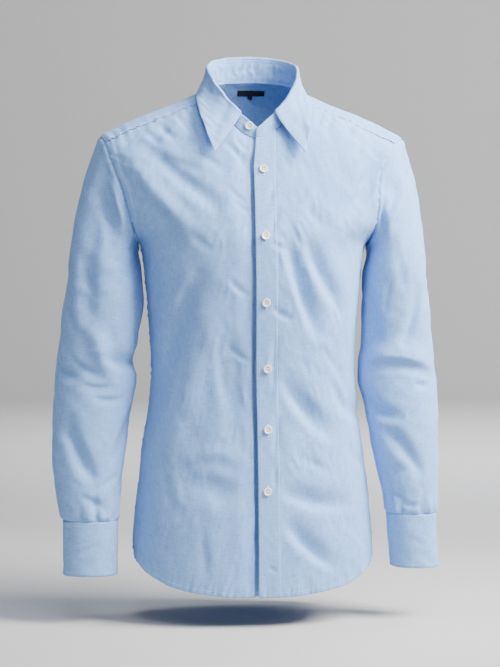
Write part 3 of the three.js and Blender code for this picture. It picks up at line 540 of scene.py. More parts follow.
def across_lengths(points):
    """Distance along each row from its first column."""
    step = np.linalg.norm(np.diff(points, axis=1), axis=-1)
    return np.concatenate([np.zeros((len(points), 1)), np.cumsum(step, axis=1)], axis=1)


def up_lengths(points):
    """Distance up each column from its first row."""
    return across_lengths(points.transpose(1, 0, 2)).T


def resampled(path, count):
    """The path's points again, at even distances."""
    lengths = across_lengths(path[None])[0]
    at = np.linspace(0, lengths[-1], count)
    return np.stack([np.interp(at, lengths, path[:, k]) for k in range(3)], axis=-1)


def mirrored(points):
    return points * (-1, 1, 1)


def ring_point(turn, z, half_width, front, back, squareness):
    across, ahead = np.sin(turn), np.cos(turn)
    depth = np.where(ahead > 0, front, back)
    total = np.abs(across / half_width) ** squareness + np.abs(ahead / depth) ** squareness
    radius = total ** (-1 / squareness)
    return np.stack(np.broadcast_arrays(radius * across, -radius * ahead, z), axis=-1)


def body_point(turn, z):
    return ring_point(turn, z, body.half_width(z), body.front(z), body.back(z), SQUARENESS)


def body_normal(turn, z):
    little = 1e-3
    across = body_point(turn + little, z) - body_point(turn - little, z)
    up = body_point(turn, z + 1) - body_point(turn, z - 1)
    return unit(np.cross(across, up))


def turn_at(x, z, behind=False):
    """The turn at which the body's ring passes a given x, in front or behind."""
    share = np.minimum(1, np.abs(x) / body.half_width(z))
    depth = body.back(z) if behind else body.front(z)
    y = depth * (1 - share**SQUARENESS) ** (1 / SQUARENESS)
    return np.arctan2(x, -y if behind else y)


def neck(turn):
    """Places of the neckline, the way out from there, and the way that its cloth faces."""
    at = np.abs(turn)
    place = np.stack([np.sign(turn) * neckline.x(at), neckline.y(at), neckline.z(at)], axis=-1)
    out = unit(place * (1, 1, 0))
    tilt = np.radians(neckline.tilt(at))[..., None]
    return place, out, out * np.cos(tilt) + np.array((0, 0, 1)) * np.sin(tilt)


def bridge(start, start_normal, end, end_normal, t):
    """Cloth from one edge to another, leaving and arriving along the surfaces there."""
    chord = end - start
    length = np.linalg.norm(chord, axis=-1, keepdims=True)
    leave = unit(chord - dot(chord, start_normal) * start_normal) * length
    arrive = unit(chord - dot(chord, end_normal) * end_normal) * length
    return hermite(start, leave, end, arrive, t)


# Rows of the body, counted up from the hem, with their share of the way from the hem to their level.
TAIL_ROWS, SIDE_ROWS, ARMHOLE_ROWS, CHEST_ROWS = 74, 128, 48, 34
tail = np.linspace(0, 1, TAIL_ROWS + 1)
side_t = np.linspace(0, 1, SIDE_ROWS + 1)[1:]
arm_t = np.linspace(0, 1, ARMHOLE_ROWS + 1)[1:]
LEVEL_SHARE = np.concatenate([tail, np.ones(SIDE_ROWS + ARMHOLE_ROWS)])[:, None]
LEVEL_Z = np.concatenate(
    [
        np.full(TAIL_ROWS + 1, HEM_TOP),
        lerp(HEM_TOP, ARMPIT, side_t),
        lerp(ARMPIT, BUST_TOP, arm_t**1.4),
    ]
)[:, None]
ARMPIT_ROW = TAIL_ROWS + SIDE_ROWS


def shoulder_corner(side):
    first = SHOULDER_PLACES[0] - (side * float(armhole_swing.x(SHOULDER_PLACES[0][2])), 0, 0)
    return first, unit(SHOULDER_NORMALS[0])


def yoke_front_seam(side, t):
    place, _, normal = neck(np.array([float(NECK_SEAM_TURN)]))
    corner, corner_normal = shoulder_corner(side)
    t = t[:, None]
    return bridge(place, normal, corner[None], corner_normal[None], t), unit(lerp(normal, corner_normal, t))


def front_neck_turns(is_upper, columns):
    top = float(neckline.z(180))
    past = float(-middle.edge(top)) if is_upper else float(middle.under_edge(top))
    start = 180 + math.degrees(math.asin(past / float(neckline.x(90))))
    inner = start - PLACKET / NECK_PITCH
    return np.interp(columns, [0, PLACKET_END, NECK_END], [start, inner, NECK_SEAM_TURN])


def segments(*parts):
    """Column places from a list of (end, number of steps)."""
    places, start = [np.zeros(1)], 0.0
    for end, count in parts:
        places.append(np.linspace(start, end, count + 1)[1:])
        start = end
    return np.concatenate(places)


FRONT_COLUMNS = segments((PLACKET_END, 14), (NECK_END, 34), (SHOULDER_END, 64))
BACK_COLUMNS = 180


def front_form(is_upper):
    """The smooth form of one front, worked out on the wearer's left."""
    side = 1 if is_upper else -1
    c = FRONT_COLUMNS[None, :]
    middle_z = lerp(hem.front(0), LEVEL_Z, LEVEL_SHARE)
    edge = middle.edge(middle_z) if is_upper else -middle.under_edge(middle_z)
    seam_x = armhole.front(LEVEL_Z) - side * armhole_swing.x(LEVEL_Z)
    side_turn = lerp(np.pi / 2, turn_at(seam_x, LEVEL_Z), smooth(LEVEL_Z, ARMPIT - 2, ARMPIT + 12))
    on_placket = turn_at(edge + PLACKET * c / PLACKET_END, middle_z)
    beyond = lerp(
        turn_at(edge + PLACKET, middle_z), side_turn, (c - PLACKET_END) / (SHOULDER_END - PLACKET_END)
    )
    turns = np.where(c <= PLACKET_END, on_placket, beyond)
    z = lerp(hem.front(np.abs(np.degrees(turns))), LEVEL_Z, LEVEL_SHARE)
    rows = body_point(turns, z)

    bust = rows[-1]
    bust_normal = body_normal(np.arctan2(bust[:, 0], -bust[:, 1]), float(BUST_TOP))
    at_neck = FRONT_COLUMNS <= NECK_END
    neck_place, _, neck_normal = neck(front_neck_turns(is_upper, FRONT_COLUMNS[at_neck]))
    t = (FRONT_COLUMNS[~at_neck] - NECK_END) / (SHOULDER_END - NECK_END)
    seam_place, seam_normal = yoke_front_seam(side, t)
    top = np.concatenate([neck_place, seam_place])
    top_normal = np.concatenate([neck_normal, seam_normal])
    chest = [
        bridge(bust, bust_normal, top, top_normal, t) for t in np.linspace(0, 1, CHEST_ROWS + 1)[1:]
    ]
    rows = np.concatenate([rows, np.stack(chest)])
    return rows if is_upper else mirrored(rows)[:, ::-1]


def edge_distances(points):
    """Each point's distance from the left, right, bottom and top edge, along the cloth."""
    across, up = across_lengths(points), up_lengths(points)
    return {"left": across, "right": across[:, -1:] - across, "bottom": up, "top": up[-1:] - up}


def sewn(points, over=(), under=(), lap=1.8):
    """A grid whose edges lap over the next piece at some seams, and dip under it at the others."""
    away = edge_distances(points)
    change = sum(0.45 * np.exp(-((away[side] / 3) ** 2)) for side in over)
    change = change - sum(1.1 * np.exp(-((away[side] / 3.4) ** 2)) for side in under)
    return drawn_back(moved(points, change), **{side: -lap for side in over})


def front_shape(is_upper):
    """One front with its folds, its creases and the puckers along its seams."""
    side = 1 if is_upper else -1
    form = front_form(is_upper)
    x, z = form[..., 0], form[..., 2]
    fade = smooth(z, -765, -690) * (1 - smooth(z, -100, -40)) * smooth(side * x, -40, 60)
    amount = FOLD_DEPTH * fold_height(x, z, FRONT_FOLDS) * fade
    if not is_upper:
        past = x - middle.edge(z)
        amount -= UNDER_DEPTH * smooth(past, -UNDER_REACH, -2)
        amount -= lerp(10, 5, smooth(z, -640, -180)) * smooth(past, -8, -1) * (1 - smooth(z, -110, -85))
    points = moved(form, amount)

    across, up = across_lengths(points), up_lengths(points)
    to_side = across[:, -1:] - across if is_upper else across
    to_top = up[-1:] - up
    z = points[..., 2]
    small = CREASE_DEPTH * fold_height(points[..., 0], z, FRONT_CREASES)
    at_side = np.where(z > ARMPIT - 30, 1, 0.6)
    small += puckers(to_side, up, 11, 0.45, 21 if is_upper else 22) * at_side
    on_yoke = smooth(np.abs(points[..., 0]), 56, 74)
    small += puckers(to_top, across, 10, 0.7, 23 if is_upper else 24) * on_yoke
    small += puckers(up, across, 9, 0.45, 25 if is_upper else 26)
    seed = 27 if is_upper else 127
    from_middle = across if is_upper else across[:, -1:] - across
    ground = 0.3 * waves(from_middle, z, 40, seed, 1.8) + 0.7 * crumple(from_middle, z, 46, seed + 1, 34)
    ground += 0.42 * crumple(from_middle, z, 20, seed + 3, 15)
    if is_upper:
        ground *= lerp(0.3, 1, smooth(across, PLACKET - 6, PLACKET + 6))
    small += ground + BAND_HEIGHT * seam_band(to_side) * smooth(z, ARMPIT - 2, ARMPIT + 4)
    return moved(points, small)


def back_shape(front_sides):
    at_armhole = turn_at(armhole.back(LEVEL_Z), LEVEL_Z, True)
    side_turn = lerp(np.pi / 2, at_armhole, smooth(LEVEL_Z, ARMPIT - 2, ARMPIT + 12))
    t = np.linspace(0, 1, BACK_COLUMNS + 1)[None, :]
    turns = lerp(side_turn, 2 * np.pi - side_turn, t)
    z = lerp(hem.back(np.abs(180 - np.degrees(turns))), LEVEL_Z, LEVEL_SHARE)
    form = body_point(turns, z)
    fade = smooth(z, -780, -700) * (1 - smooth(z, -190, -120)) * smooth(form[..., 1], 20, 70)
    points = moved(form, FOLD_DEPTH * fold_height(form[..., 0], z, BACK_FOLDS) * fade)
    points = meet_fronts(points, front_sides)
    across, up = across_lengths(points), up_lengths(points)
    from_side = np.minimum(across, across[:, -1:] - across)
    small = CREASE_DEPTH * fold_height(points[..., 0], points[..., 2], BACK_CREASES)
    small *= smooth(points[..., 1], 20, 70)
    small += puckers(from_side, up, 11, 0.45, 41) * smooth(from_side, 0, 6)
    small += puckers(up[-1:] - up, across, 10, 0.6, 43)
    small += puckers(up, across, 9, 0.45, 45)
    z = points[..., 2]
    from_middle = across - across[:, BACK_COLUMNS // 2][:, None]
    ground = 0.3 * waves(from_middle, z, 40, 47, 1.8) + 1.0 * crumple(from_middle, z, 46, 48, 12)
    ground += 0.42 * crumple(from_middle, z, 20, 50, -20)
    small += ground * smooth(from_side, 0, 12)
    small += BAND_HEIGHT * seam_band(from_side) * smooth(z, ARMPIT - 2, ARMPIT + 4)
    return moved(points, small)


def meet_fronts(points, front_sides):
    """The back's side edges follow the fronts' up to the armpits, and draw the cloth near them along."""
    away = across_lengths(points)
    away = (away, away[:, -1:] - away)
    rows = np.arange(len(points))
    fade = np.where(rows <= ARMPIT_ROW, 1, np.exp(-((rows - ARMPIT_ROW) / 10.0) ** 2))
    result = points.copy()
    for edge, from_edge, place in zip((0, -1), away, front_sides):
        shift = place[: len(points)] - points[:, edge]
        shift = np.where(rows[:, None] <= ARMPIT_ROW, shift, shift[ARMPIT_ROW]) * fade[:, None]
        result += shift[:, None, :] * np.exp(-from_edge / 18)[..., None]
    return result


YOKE_COLUMNS = segments((5, 46), (25, 150), (30, 46))
YOKE_ROWS = 40


def armhole_top(side, back_corner, back_normal, columns):
    """The yoke's edge along one armhole, from its front seam (0) to its back corner (5)."""
    corner, corner_normal = shoulder_corner(side)
    places = np.stack([corner, *SHOULDER_PLACES[1:], back_corner])
    normals = np.stack([corner_normal, *unit(SHOULDER_NORMALS[1:]), back_normal])
    padded = np.concatenate([[2 * places[0] - places[1]], places, [2 * places[-1] - places[-2]]])
    i = np.minimum((columns * 3 / 5).astype(int), 2)
    t = (columns * 3 / 5 - i)[:, None]
    leave = (padded[i + 2] - padded[i]) / 2
    arrive = (padded[i + 3] - padded[i + 1]) / 2
    place = hermite(padded[i + 1], leave, padded[i + 2], arrive, t)
    return place, unit(lerp(normals[i], normals[i + 1], t))


def evened_along(values, reach):
    """Places or normals along an edge without its puckers."""
    weights = np.hanning(2 * reach + 1)
    padded = np.pad(values, ((reach, reach), (0, 0)), mode="edge")
    return np.stack([np.convolve(padded[:, k], weights / weights.sum(), "valid") for k in range(3)], axis=-1)


def yoke_shape(fronts, back):
    c = YOKE_COLUMNS
    back_normals = unit(evened_along(grid_normals(back)[-1], 30))
    on_back = (c > 5) & (c < 25)
    at = (c[on_back] - 5) / 20 * BACK_COLUMNS
    columns = np.arange(BACK_COLUMNS + 1)
    seam = np.stack([np.interp(at, columns, back[-1, :, k]) for k in range(3)], axis=-1)
    seam_normal = np.stack([np.interp(at, columns, back_normals[:, k]) for k in range(3)], axis=-1)
    left, left_normal = armhole_top(1, back[-1, 0], back_normals[0], c[c <= 5])
    mirror = np.array((-1, 1, 1))
    right, right_normal = armhole_top(-1, back[-1, -1] * mirror, back_normals[-1] * mirror, 30 - c[c >= 25])
    # The seam's small waves die out soon above it, instead of running up to the neck.
    from_corner = smooth(np.minimum(at, BACK_COLUMNS - at), 0, 14)[:, None]
    waver = (seam - evened_along(seam, 14)) * from_corner
    outer = np.concatenate([left, seam - waver, right * mirror])
    outer_normal = unit(np.concatenate([left_normal, seam_normal, right_normal * mirror]))
    turns = np.interp(
        c, [0, 5, 25, 30], [NECK_SEAM_TURN, YOKE_CORNER_TURN, -YOKE_CORNER_TURN, -NECK_SEAM_TURN]
    )
    place, _, normal = neck(turns)
    t = np.linspace(0, 1, YOKE_ROWS + 1)[:, None, None]
    points = bridge(outer[None], outer_normal[None], place[None], normal[None], t)
    points[:, on_back] += waver[None] * np.exp(-up_lengths(points)[:, on_back] / 14)[..., None]

    shoulder = FRONT_COLUMNS >= NECK_END
    seams = (fronts["left"][-1][shoulder][::-1], fronts["right"][-1][shoulder[::-1]])
    across = across_lengths(points)
    for edge, away, seam in zip((0, -1), (across, across[:, -1:] - across), seams):
        shift = resampled(seam, YOKE_ROWS + 1) - points[:, edge]
        points = points + shift[:, None, :] * np.exp(-away / 14)[..., None]
    across, up = across_lengths(points), up_lengths(points)
    from_front = np.minimum(across, across[:, -1:] - across)
    small = puckers(from_front, up, 10, 0.45, 61) * smooth(from_front, 0, 5)
    small += puckers(up, across, 11, 0.2, 63) * smooth(up, 0, 5)
    ground = 0.2 * waves(across, up, 34, 65) + 0.4 * crumple(across, up, 30, 67, 20)
    small += ground * smooth(from_front, 0, 12) * smooth(up, 0, 12)
    at_armhole = (c <= 5) | (c >= 25)
    small += BAND_HEIGHT * seam_band(up) * at_armhole
    return moved(points, small), turns


SLEEVE_COLUMNS = 138
SLEEVE_HEAD_ROWS = 50
SLEEVE_ROWS = 146


def evened(loop, reach):
    """A closed loop of points or directions, each the mean of its neighbours."""
    weights = np.hanning(2 * reach + 3)[1:-1]
    weights /= weights.sum()
    return sum(w * np.roll(loop, k - reach, 0) for k, w in enumerate(weights))


def armhole_loop(name, fronts, back, yoke):
    """The armhole from the armpit up the front, over the shoulder and down the back, on the wearer's left."""
    is_left = name == "left"
    edge = -1 if is_left else 0
    back_edge = 0 if is_left else -1
    yoke_part = YOKE_COLUMNS <= 5 if is_left else YOKE_COLUMNS >= 25
    over = yoke[0][yoke_part] if is_left else yoke[0][yoke_part][::-1]
    over_normal = grid_normals(yoke)[0][yoke_part]
    over_normal = over_normal if is_left else over_normal[::-1]
    front = fronts[name]
    parts = [front[ARMPIT_ROW:, edge], over[1:-1], back[:ARMPIT_ROW:-1, back_edge]]
    normals = [
        grid_normals(front)[ARMPIT_ROW:, edge],
        over_normal[1:-1],
        grid_normals(back)[:ARMPIT_ROW:-1, back_edge],
    ]
    places, normals = np.concatenate(parts), np.concatenate(normals)
    return (places, normals) if is_left else (mirrored(places), mirrored(normals))


def sleeve_point(name, turn, z):
    rings = RINGS[name]
    depth = rings.half_depth(z)
    point = ring_point(np.radians(turn), z, rings.half_width(z), depth, depth, SLEEVE_SQUARENESS)
    middle_place = np.stack(np.broadcast_arrays(rings.x(z), rings.y(z), 0 * z), axis=-1)
    return point + middle_place


def sleeve_shape(name, loop):
    """A sleeve on the wearer's left, its rows from the armhole down. Its columns start at the armpit."""
    places, normals = loop
    closed = np.concatenate([places, places[:1]])
    lengths = across_lengths(closed[None])[0]
    top = np.argmax(places[:, 2])
    turns = np.linspace(-90, 270, SLEEVE_COLUMNS + 1)[:-1]
    at = np.interp(turns, [-90, 90, 270], [0, lengths[top], lengths[-1]])
    start = np.stack([np.interp(at, lengths, closed[:, k]) for k in range(3)], axis=-1)
    closed_normals = np.concatenate([normals, normals[:1]])
    normal = np.stack([np.interp(at, lengths, closed_normals[:, k]) for k in range(3)], axis=-1)
    normal = unit(evened(normal, 9))
    even_start = evened(start, 5)
    along = unit(np.roll(even_start, -5, 0) - np.roll(even_start, 5, 0))
    away = unit(np.cross(normal, along))
    away = np.where(away[:, :1] < 0, -away, away)
    share = CAP_OUT * smooth(start[:, 2:], ARMPIT, ARMPIT + CAP_RISE)
    drop = np.concatenate([ARMPIT_OUT * (1 - share), 0 * share, -1 + 0 * share], axis=1)
    target = sleeve_point(name, turns, np.full(turns.shape, float(SLEEVE_HEAD)))
    above = sleeve_point(name, turns, np.full(turns.shape, float(SLEEVE_HEAD + 4)))
    length = CAP_TENSION * np.linalg.norm(target - start, axis=1, keepdims=True)
    leave = unit(away * share + drop * (1 - share)) * length
    arrive = unit(target - above) * length
    t = np.linspace(0, 1, SLEEVE_HEAD_ROWS + 1)[:-1, None, None]
    head = hermite(even_start[None], leave[None], target[None], arrive[None], t)
    head += (start - even_start)[None] * np.exp(-t * 12)
    end = CUFF_TOP[name] + LAY
    levels = np.linspace(SLEEVE_HEAD, end, SLEEVE_ROWS + 1)[:, None]
    rows = np.concatenate([head, sleeve_point(name, turns[None, :], levels)])[::-1]

    z = rows[..., 2]
    from_armhole = (np.arange(len(rows))[::-1, None] / SLEEVE_HEAD_ROWS) + 0 * z
    fade = smooth(from_armhole, 0.04, 0.26) * smooth(z, end, end + 40)
    amount = SLEEVE_FOLD_DEPTH * round_fold_height(turns[None, :], z, SLEEVE_FOLDS[name]) * fade
    in_front = smooth(np.cos(np.radians(turns[None, :])) + 0 * z, 0, 0.35)
    on_head = fold_height(np.abs(rows[..., 0]), z, HEAD_FOLDS[name])
    amount += HEAD_FOLD_DEPTH * on_head * in_front * smooth(from_armhole, 0, 0.1)
    points = moved(rows, amount, True)
    up = up_lengths(points)
    to_top = up[-1:] - up
    turn = turns[None, :] + 0 * z
    small = CREASE_DEPTH * round_fold_height(turn, points[..., 2], SLEEVE_CREASES[name])
    seed = 71 if name == "left" else 81
    circle = 40 * np.stack([np.cos(np.radians(turn)), np.sin(np.radians(turn))])
    small += 0.4 * round_ripple(turn, 13, seed) * np.exp(-to_top / 7) * smooth(to_top, 0, 4)
    small += 1.9 * round_ripple(turn, 26, seed + 1) * np.exp(-up / 22) * smooth(up, 0, 6)
    small += 0.8 * round_ripple(turn + up * 0.3, 12, seed + 7) * np.exp(-up / 9) * smooth(up, 0, 4)
    ground = 0.3 * waves(circle[0] + up * 0.7, circle[1] - up * 0.6, 34, seed + 2)
    ground += 0.6 * crumple(circle[0] + up * 0.8, circle[1] + up * 0.2, 40, seed + 3, 50, 1.6)
    ground += 0.36 * crumple(circle[0] - up * 0.7, circle[1] + up * 0.5, 19, seed + 5, 30, 1.6)
    small += ground * smooth(to_top, 2, 16) * smooth(up, 2, 10)
    # The sleeve rolls over its seam allowance, which is turned towards the body.
    small += 2.2 * np.exp(-(((to_top - 8) / 6) ** 2)) - 2.4 * np.exp(-((to_top / 3.2) ** 2))
    small -= 1.4 * np.exp(-((up / 2.2) ** 2))
    return moved(points, small, True), turns


def round_ripple(turn, pitch, seed, count=9):
    """An uneven wave around a sleeve, with about the given number of degrees from one crest to the next."""
    source = np.random.default_rng(seed)
    total = np.zeros(np.shape(turn))
    for _ in range(count):
        number = round(360 / (pitch * source.uniform(0.7, 1.7)))
        total += np.sin(number * np.radians(turn) + source.uniform(0, 2 * np.pi))
    return total / math.sqrt(count / 2)


CUFF_COLUMNS = 120
CUFF_ROWS = 26


def cuff_shape(name):
    rings = RINGS[name]
    start = SLIT_TURN - 360 - LAP / 2
    end = SLIT_TURN + LAP / 2
    under = -(CUFF_CLOTH + LAY)
    z = np.linspace(CUFF_BOTTOM[name], CUFF_TOP[name], CUFF_ROWS + 1)[:, None]
    turn = np.linspace(start, end, CUFF_COLUMNS + 1)[None, :]
    step = under * (1 - smooth(turn, start + LAP, start + LAP + 24))
    width, depth = rings.half_width(z) + step, rings.half_depth(z) + step
    points = ring_point(np.radians(turn), z, width, depth, depth, SLEEVE_SQUARENESS)
    points = points + np.stack(np.broadcast_arrays(rings.x(z), rings.y(z), 0 * z), axis=-1)
    across, up = across_lengths(points), up_lengths(points)
    small = 0.25 * waves(across, up, 26, 91) + 0.3 * crumple(across, up, 22, 94, 80)
    small += puckers(up[-1:] - up, across, 7, 0.12, 92)
    return moved(points, small + puckers(up, across, 7, 0.12, 93))


def neck_edge(fronts, yoke, yoke_turns):
    """Turns and places of the neck edge, from the upper front's end round the back to the under front's."""
    below_neck = FRONT_COLUMNS <= NECK_END
    left_turns = front_neck_turns(True, FRONT_COLUMNS[below_neck])
    right_turns = -front_neck_turns(False, FRONT_COLUMNS[below_neck])
    left = fronts["left"][-1][below_neck]
    right = fronts["right"][-1][below_neck[::-1]]
    turns = np.concatenate([left_turns[:-1], yoke_turns, right_turns[::-1][1:]])
    places = np.concatenate([left[:-1], yoke[-1], right[1:]])
    return turns, places


def stand_up(turn):
    lean = np.radians(neckline.lean(np.abs(turn)))[..., None]
    _, out, _ = neck(turn)
    return np.array((0, 0, 1)) * np.cos(lean) + out * np.sin(lean)


def at_turns(edge, turns):
    """Places of the neck edge at given turns, which fall."""
    known, places = edge
    return np.stack([np.interp(-turns, -known, places[:, k]) for k in range(3)], axis=-1)


def stand_shape(edge):
    start, end = edge[0][0], edge[0][-1]
    left = front_neck_turns(True, np.array([float(PLACKET_END)]))[0]
    right = -front_neck_turns(False, np.array([float(PLACKET_END)]))[0]
    turns = np.concatenate(
        [np.linspace(start, left, 19)[:-1], np.linspace(left, right, 181)[:-1], np.linspace(right, end, 19)]
    )
    from_end = np.minimum(
        np.interp(-turns, [-start, -left], [0, 1]), np.interp(-turns, [-right, -end], [1, 0])
    )
    rounding = np.sqrt(1 - (1 - from_end) ** 2 * 0.75)
    rise = (neckline.height(np.abs(turns)) * rounding)[:, None]
    up = stand_up(turns)
    bottom = at_turns(edge, turns) + up * LAY
    t = np.linspace(0, 1, 19)[:, None, None]
    points = bottom[None] + up[None] * rise[None] * t
    across, length = across_lengths(points), up_lengths(points)
    small = 0.2 * waves(across, length, 20, 95) + puckers(length, across, 7, 0.15, 96)
    # Behind, the band has crumpled inwards, away from the leaf.
    slack = 0.9 + 1.3 * crumple(across, length, 15, 194, 35, 1.5)
    behind = smooth(length, 3, 9) * (1 - smooth(length, 27, 33)) * (1 - smooth(np.abs(turns), 70, 105))
    small -= np.clip(slack, 0, 2) * behind
    return moved(points, small), turns


def leaf_shape(stand, turns):
    left = front_neck_turns(True, np.array([float(PLACKET_END)]))[0]
    right = -front_neck_turns(False, np.array([float(PLACKET_END)]))[0]
    wanted = np.linspace(left, right, 201)
    fold = np.stack([np.interp(-wanted, -turns, stand[-1, :, k]) for k in range(3)], axis=-1)
    corner = np.where(wanted > 0, left, -right)
    at = np.abs(wanted) * LEAF_POINT / corner
    shift = LEAF_SHIFT * np.sin(np.pi * np.minimum(at / (LEAF_POINT - 10), 1))
    side = np.sign(wanted)
    low = np.stack([side * leaf_edge.x(at) - shift, leaf_edge.y(at), leaf_edge.z(at)], axis=-1)
    _, out, _ = neck(wanted)
    up = stand_up(wanted)
    foot = fold + up * 2 * LAY

    def from_foot(rise, away):
        return foot + up * rise + out * away

    shoulder = from_foot(ROLL * 0.35, ROLL)
    # Towards its front edges the leaf hangs nearly straight from the roll.
    slack = lerp(1, 0.3, smooth(at, 112, 156))[:, None]
    length = slack * np.linalg.norm(shoulder - low, axis=1, keepdims=True)
    leave = -up * length
    arrive = unit(low - shoulder + out * 0.3 * length) * length
    t = np.linspace(0, 1, 29)[:, None, None]
    hanging = hermite(shoulder[None], leave[None], low[None], arrive[None], t)[::-1]
    # The roll over the stand's top, as a half round.
    over = []
    for angle in np.linspace(0, 180, 13)[1:]:
        swing = math.radians(angle)
        rise = ROLL * 0.35 + ROLL * 0.65 * math.sin(swing)
        away = lerp(-STAND_CLOTH, ROLL, (1 + math.cos(swing)) / 2)
        over.append(from_foot(rise * (1 if angle < 120 else (180 - angle) / 60), away))
    points = np.concatenate([hanging, np.stack(over)])
    across, length = across_lengths(points), up_lengths(points)
    small = 0.3 * waves(across, length, 30, 97) + 0.3 * crumple(across, length, 24, 99, 60)
    small = small * smooth(length[-1:] - length, 10, 24)
    small += puckers(length, across, 7, 0.12, 98)
    return moved(points, small)


def closed_walk(rows, columns):
    """The edge of a grid, counterclockwise from outside, as row and column numbers."""
    bottom = [(0, j) for j in range(columns - 1)]
    right = [(i, columns - 1) for i in range(rows - 1)]
    top = [(rows - 1, j) for j in range(columns - 1, 0, -1)]
    left = [(i, 0) for i in range(rows - 1, 0, -1)]
    return np.array(bottom + right + top + left)


def rim_faces(walk, outer, inner, middle_ids):
    """Two bands of faces round an edge, from the outside over a rounded rim to the inside."""
    here = np.arange(len(walk))
    after = np.roll(here, -1)
    a_out, b_out = outer[tuple(walk[here].T)], outer[tuple(walk[after].T)]
    a_in, b_in = inner[tuple(walk[here].T)], inner[tuple(walk[after].T)]
    a_mid, b_mid = middle_ids[here], middle_ids[after]
    return [np.stack([b_out, a_out, a_mid, b_mid], 1), np.stack([b_mid, a_mid, a_in, b_in], 1)]


def shell(name, points, thickness, wraps=False):
    """A sheet of cloth: a grid's points outside, the same moved in by the thickness, and a rounded rim."""
    rows, columns = points.shape[:2]
    normals = grid_normals(points, wraps)
    inner_points = points - normals * thickness
    outer = np.arange(rows * columns).reshape(rows, columns)
    inner = outer + rows * columns
    around = np.arange(columns if wraps else columns - 1)
    after = (around + 1) % columns
    low, high = slice(0, rows - 1), slice(1, rows)
    quads = np.stack(
        [outer[low][:, around], outer[low][:, after], outer[high][:, after], outer[high][:, around]], -1
    ).reshape(-1, 4)
    faces = [quads, quads[:, ::-1] + rows * columns]

    if wraps:
        bottom = np.array([(0, j) for j in range(columns)])
        top = np.array([(rows - 1, j) for j in range(columns - 1, -1, -1)])
        walks = [bottom, top]
    else:
        walks = [closed_walk(rows, columns)]
    extra, extra_owner = [], []
    count = 2 * rows * columns
    for walk in walks:
        i, j = walk.T
        within = points[np.clip(i, 1, rows - 2), j if wraps else np.clip(j, 1, columns - 2)]
        outward = unit(points[i, j] - within)
        outward = unit(outward - dot(outward, normals[i, j]) * normals[i, j])
        extra.append((points[i, j] + inner_points[i, j]) / 2 + outward * thickness * 0.45)
        extra_owner.append(outer[i, j])
        faces += rim_faces(walk, outer, inner, count + np.arange(len(walk)))
        count += len(walk)

    vertices = np.concatenate([points.reshape(-1, 3), inner_points.reshape(-1, 3), *extra]) * MM
    faces = np.concatenate(faces)
    mesh = bpy.data.meshes.new(name)
    mesh.from_pydata(vertices.tolist(), [], faces.tolist())
    mesh.polygons.foreach_set("use_smooth", np.ones(len(faces), bool))

    # The weave follows the cloth: places on it are measured along the grid.
    if wraps:
        closed = np.concatenate([points, points[:, :1]], axis=1)
        lengths = across_lengths(closed)
        girth = lengths[:, -1].mean()
        across = np.arange(columns)[None, :] / columns * girth + 0 * points[..., 0]
    else:
        lengths = across_lengths(points)
        across = lengths - lengths[:, columns // 2][:, None]
        girth = 0
    up = up_lengths(points)
    place = np.stack([across, up], -1).reshape(-1, 2)
    owner = np.concatenate([outer.ravel(), outer.ravel(), *extra_owner])
    corners = owner[faces]
    place = place[corners]
    if wraps:
        past = (corners % columns == 0) & np.any(corners % columns == columns - 1, axis=1)[:, None]
        place[..., 0] += np.where(past, girth, 0)
    layer = mesh.uv_layers.new(name="cloth")
    layer.data.foreach_set("uv", (place * MM).astype(np.float32).ravel())
    piece = bpy.data.objects.new(f"{name}_cloth", mesh)
    bpy.context.scene.collection.objects.link(piece)
    return piece


def drawn_back(points, left=0, right=0, bottom=0, top=0, wraps=False):
    """The grid with its edges moved in, so that the pieces of a seam just miss each other."""
    result = points.copy()
    if not wraps:
        result[:, 0] += unit(points[:, 1] - points[:, 0]) * left
        result[:, -1] += unit(points[:, -2] - points[:, -1]) * right
    result[0] += unit(points[1] - points[0]) * bottom
    result[-1] += unit(points[-2] - points[-1]) * top
    return result


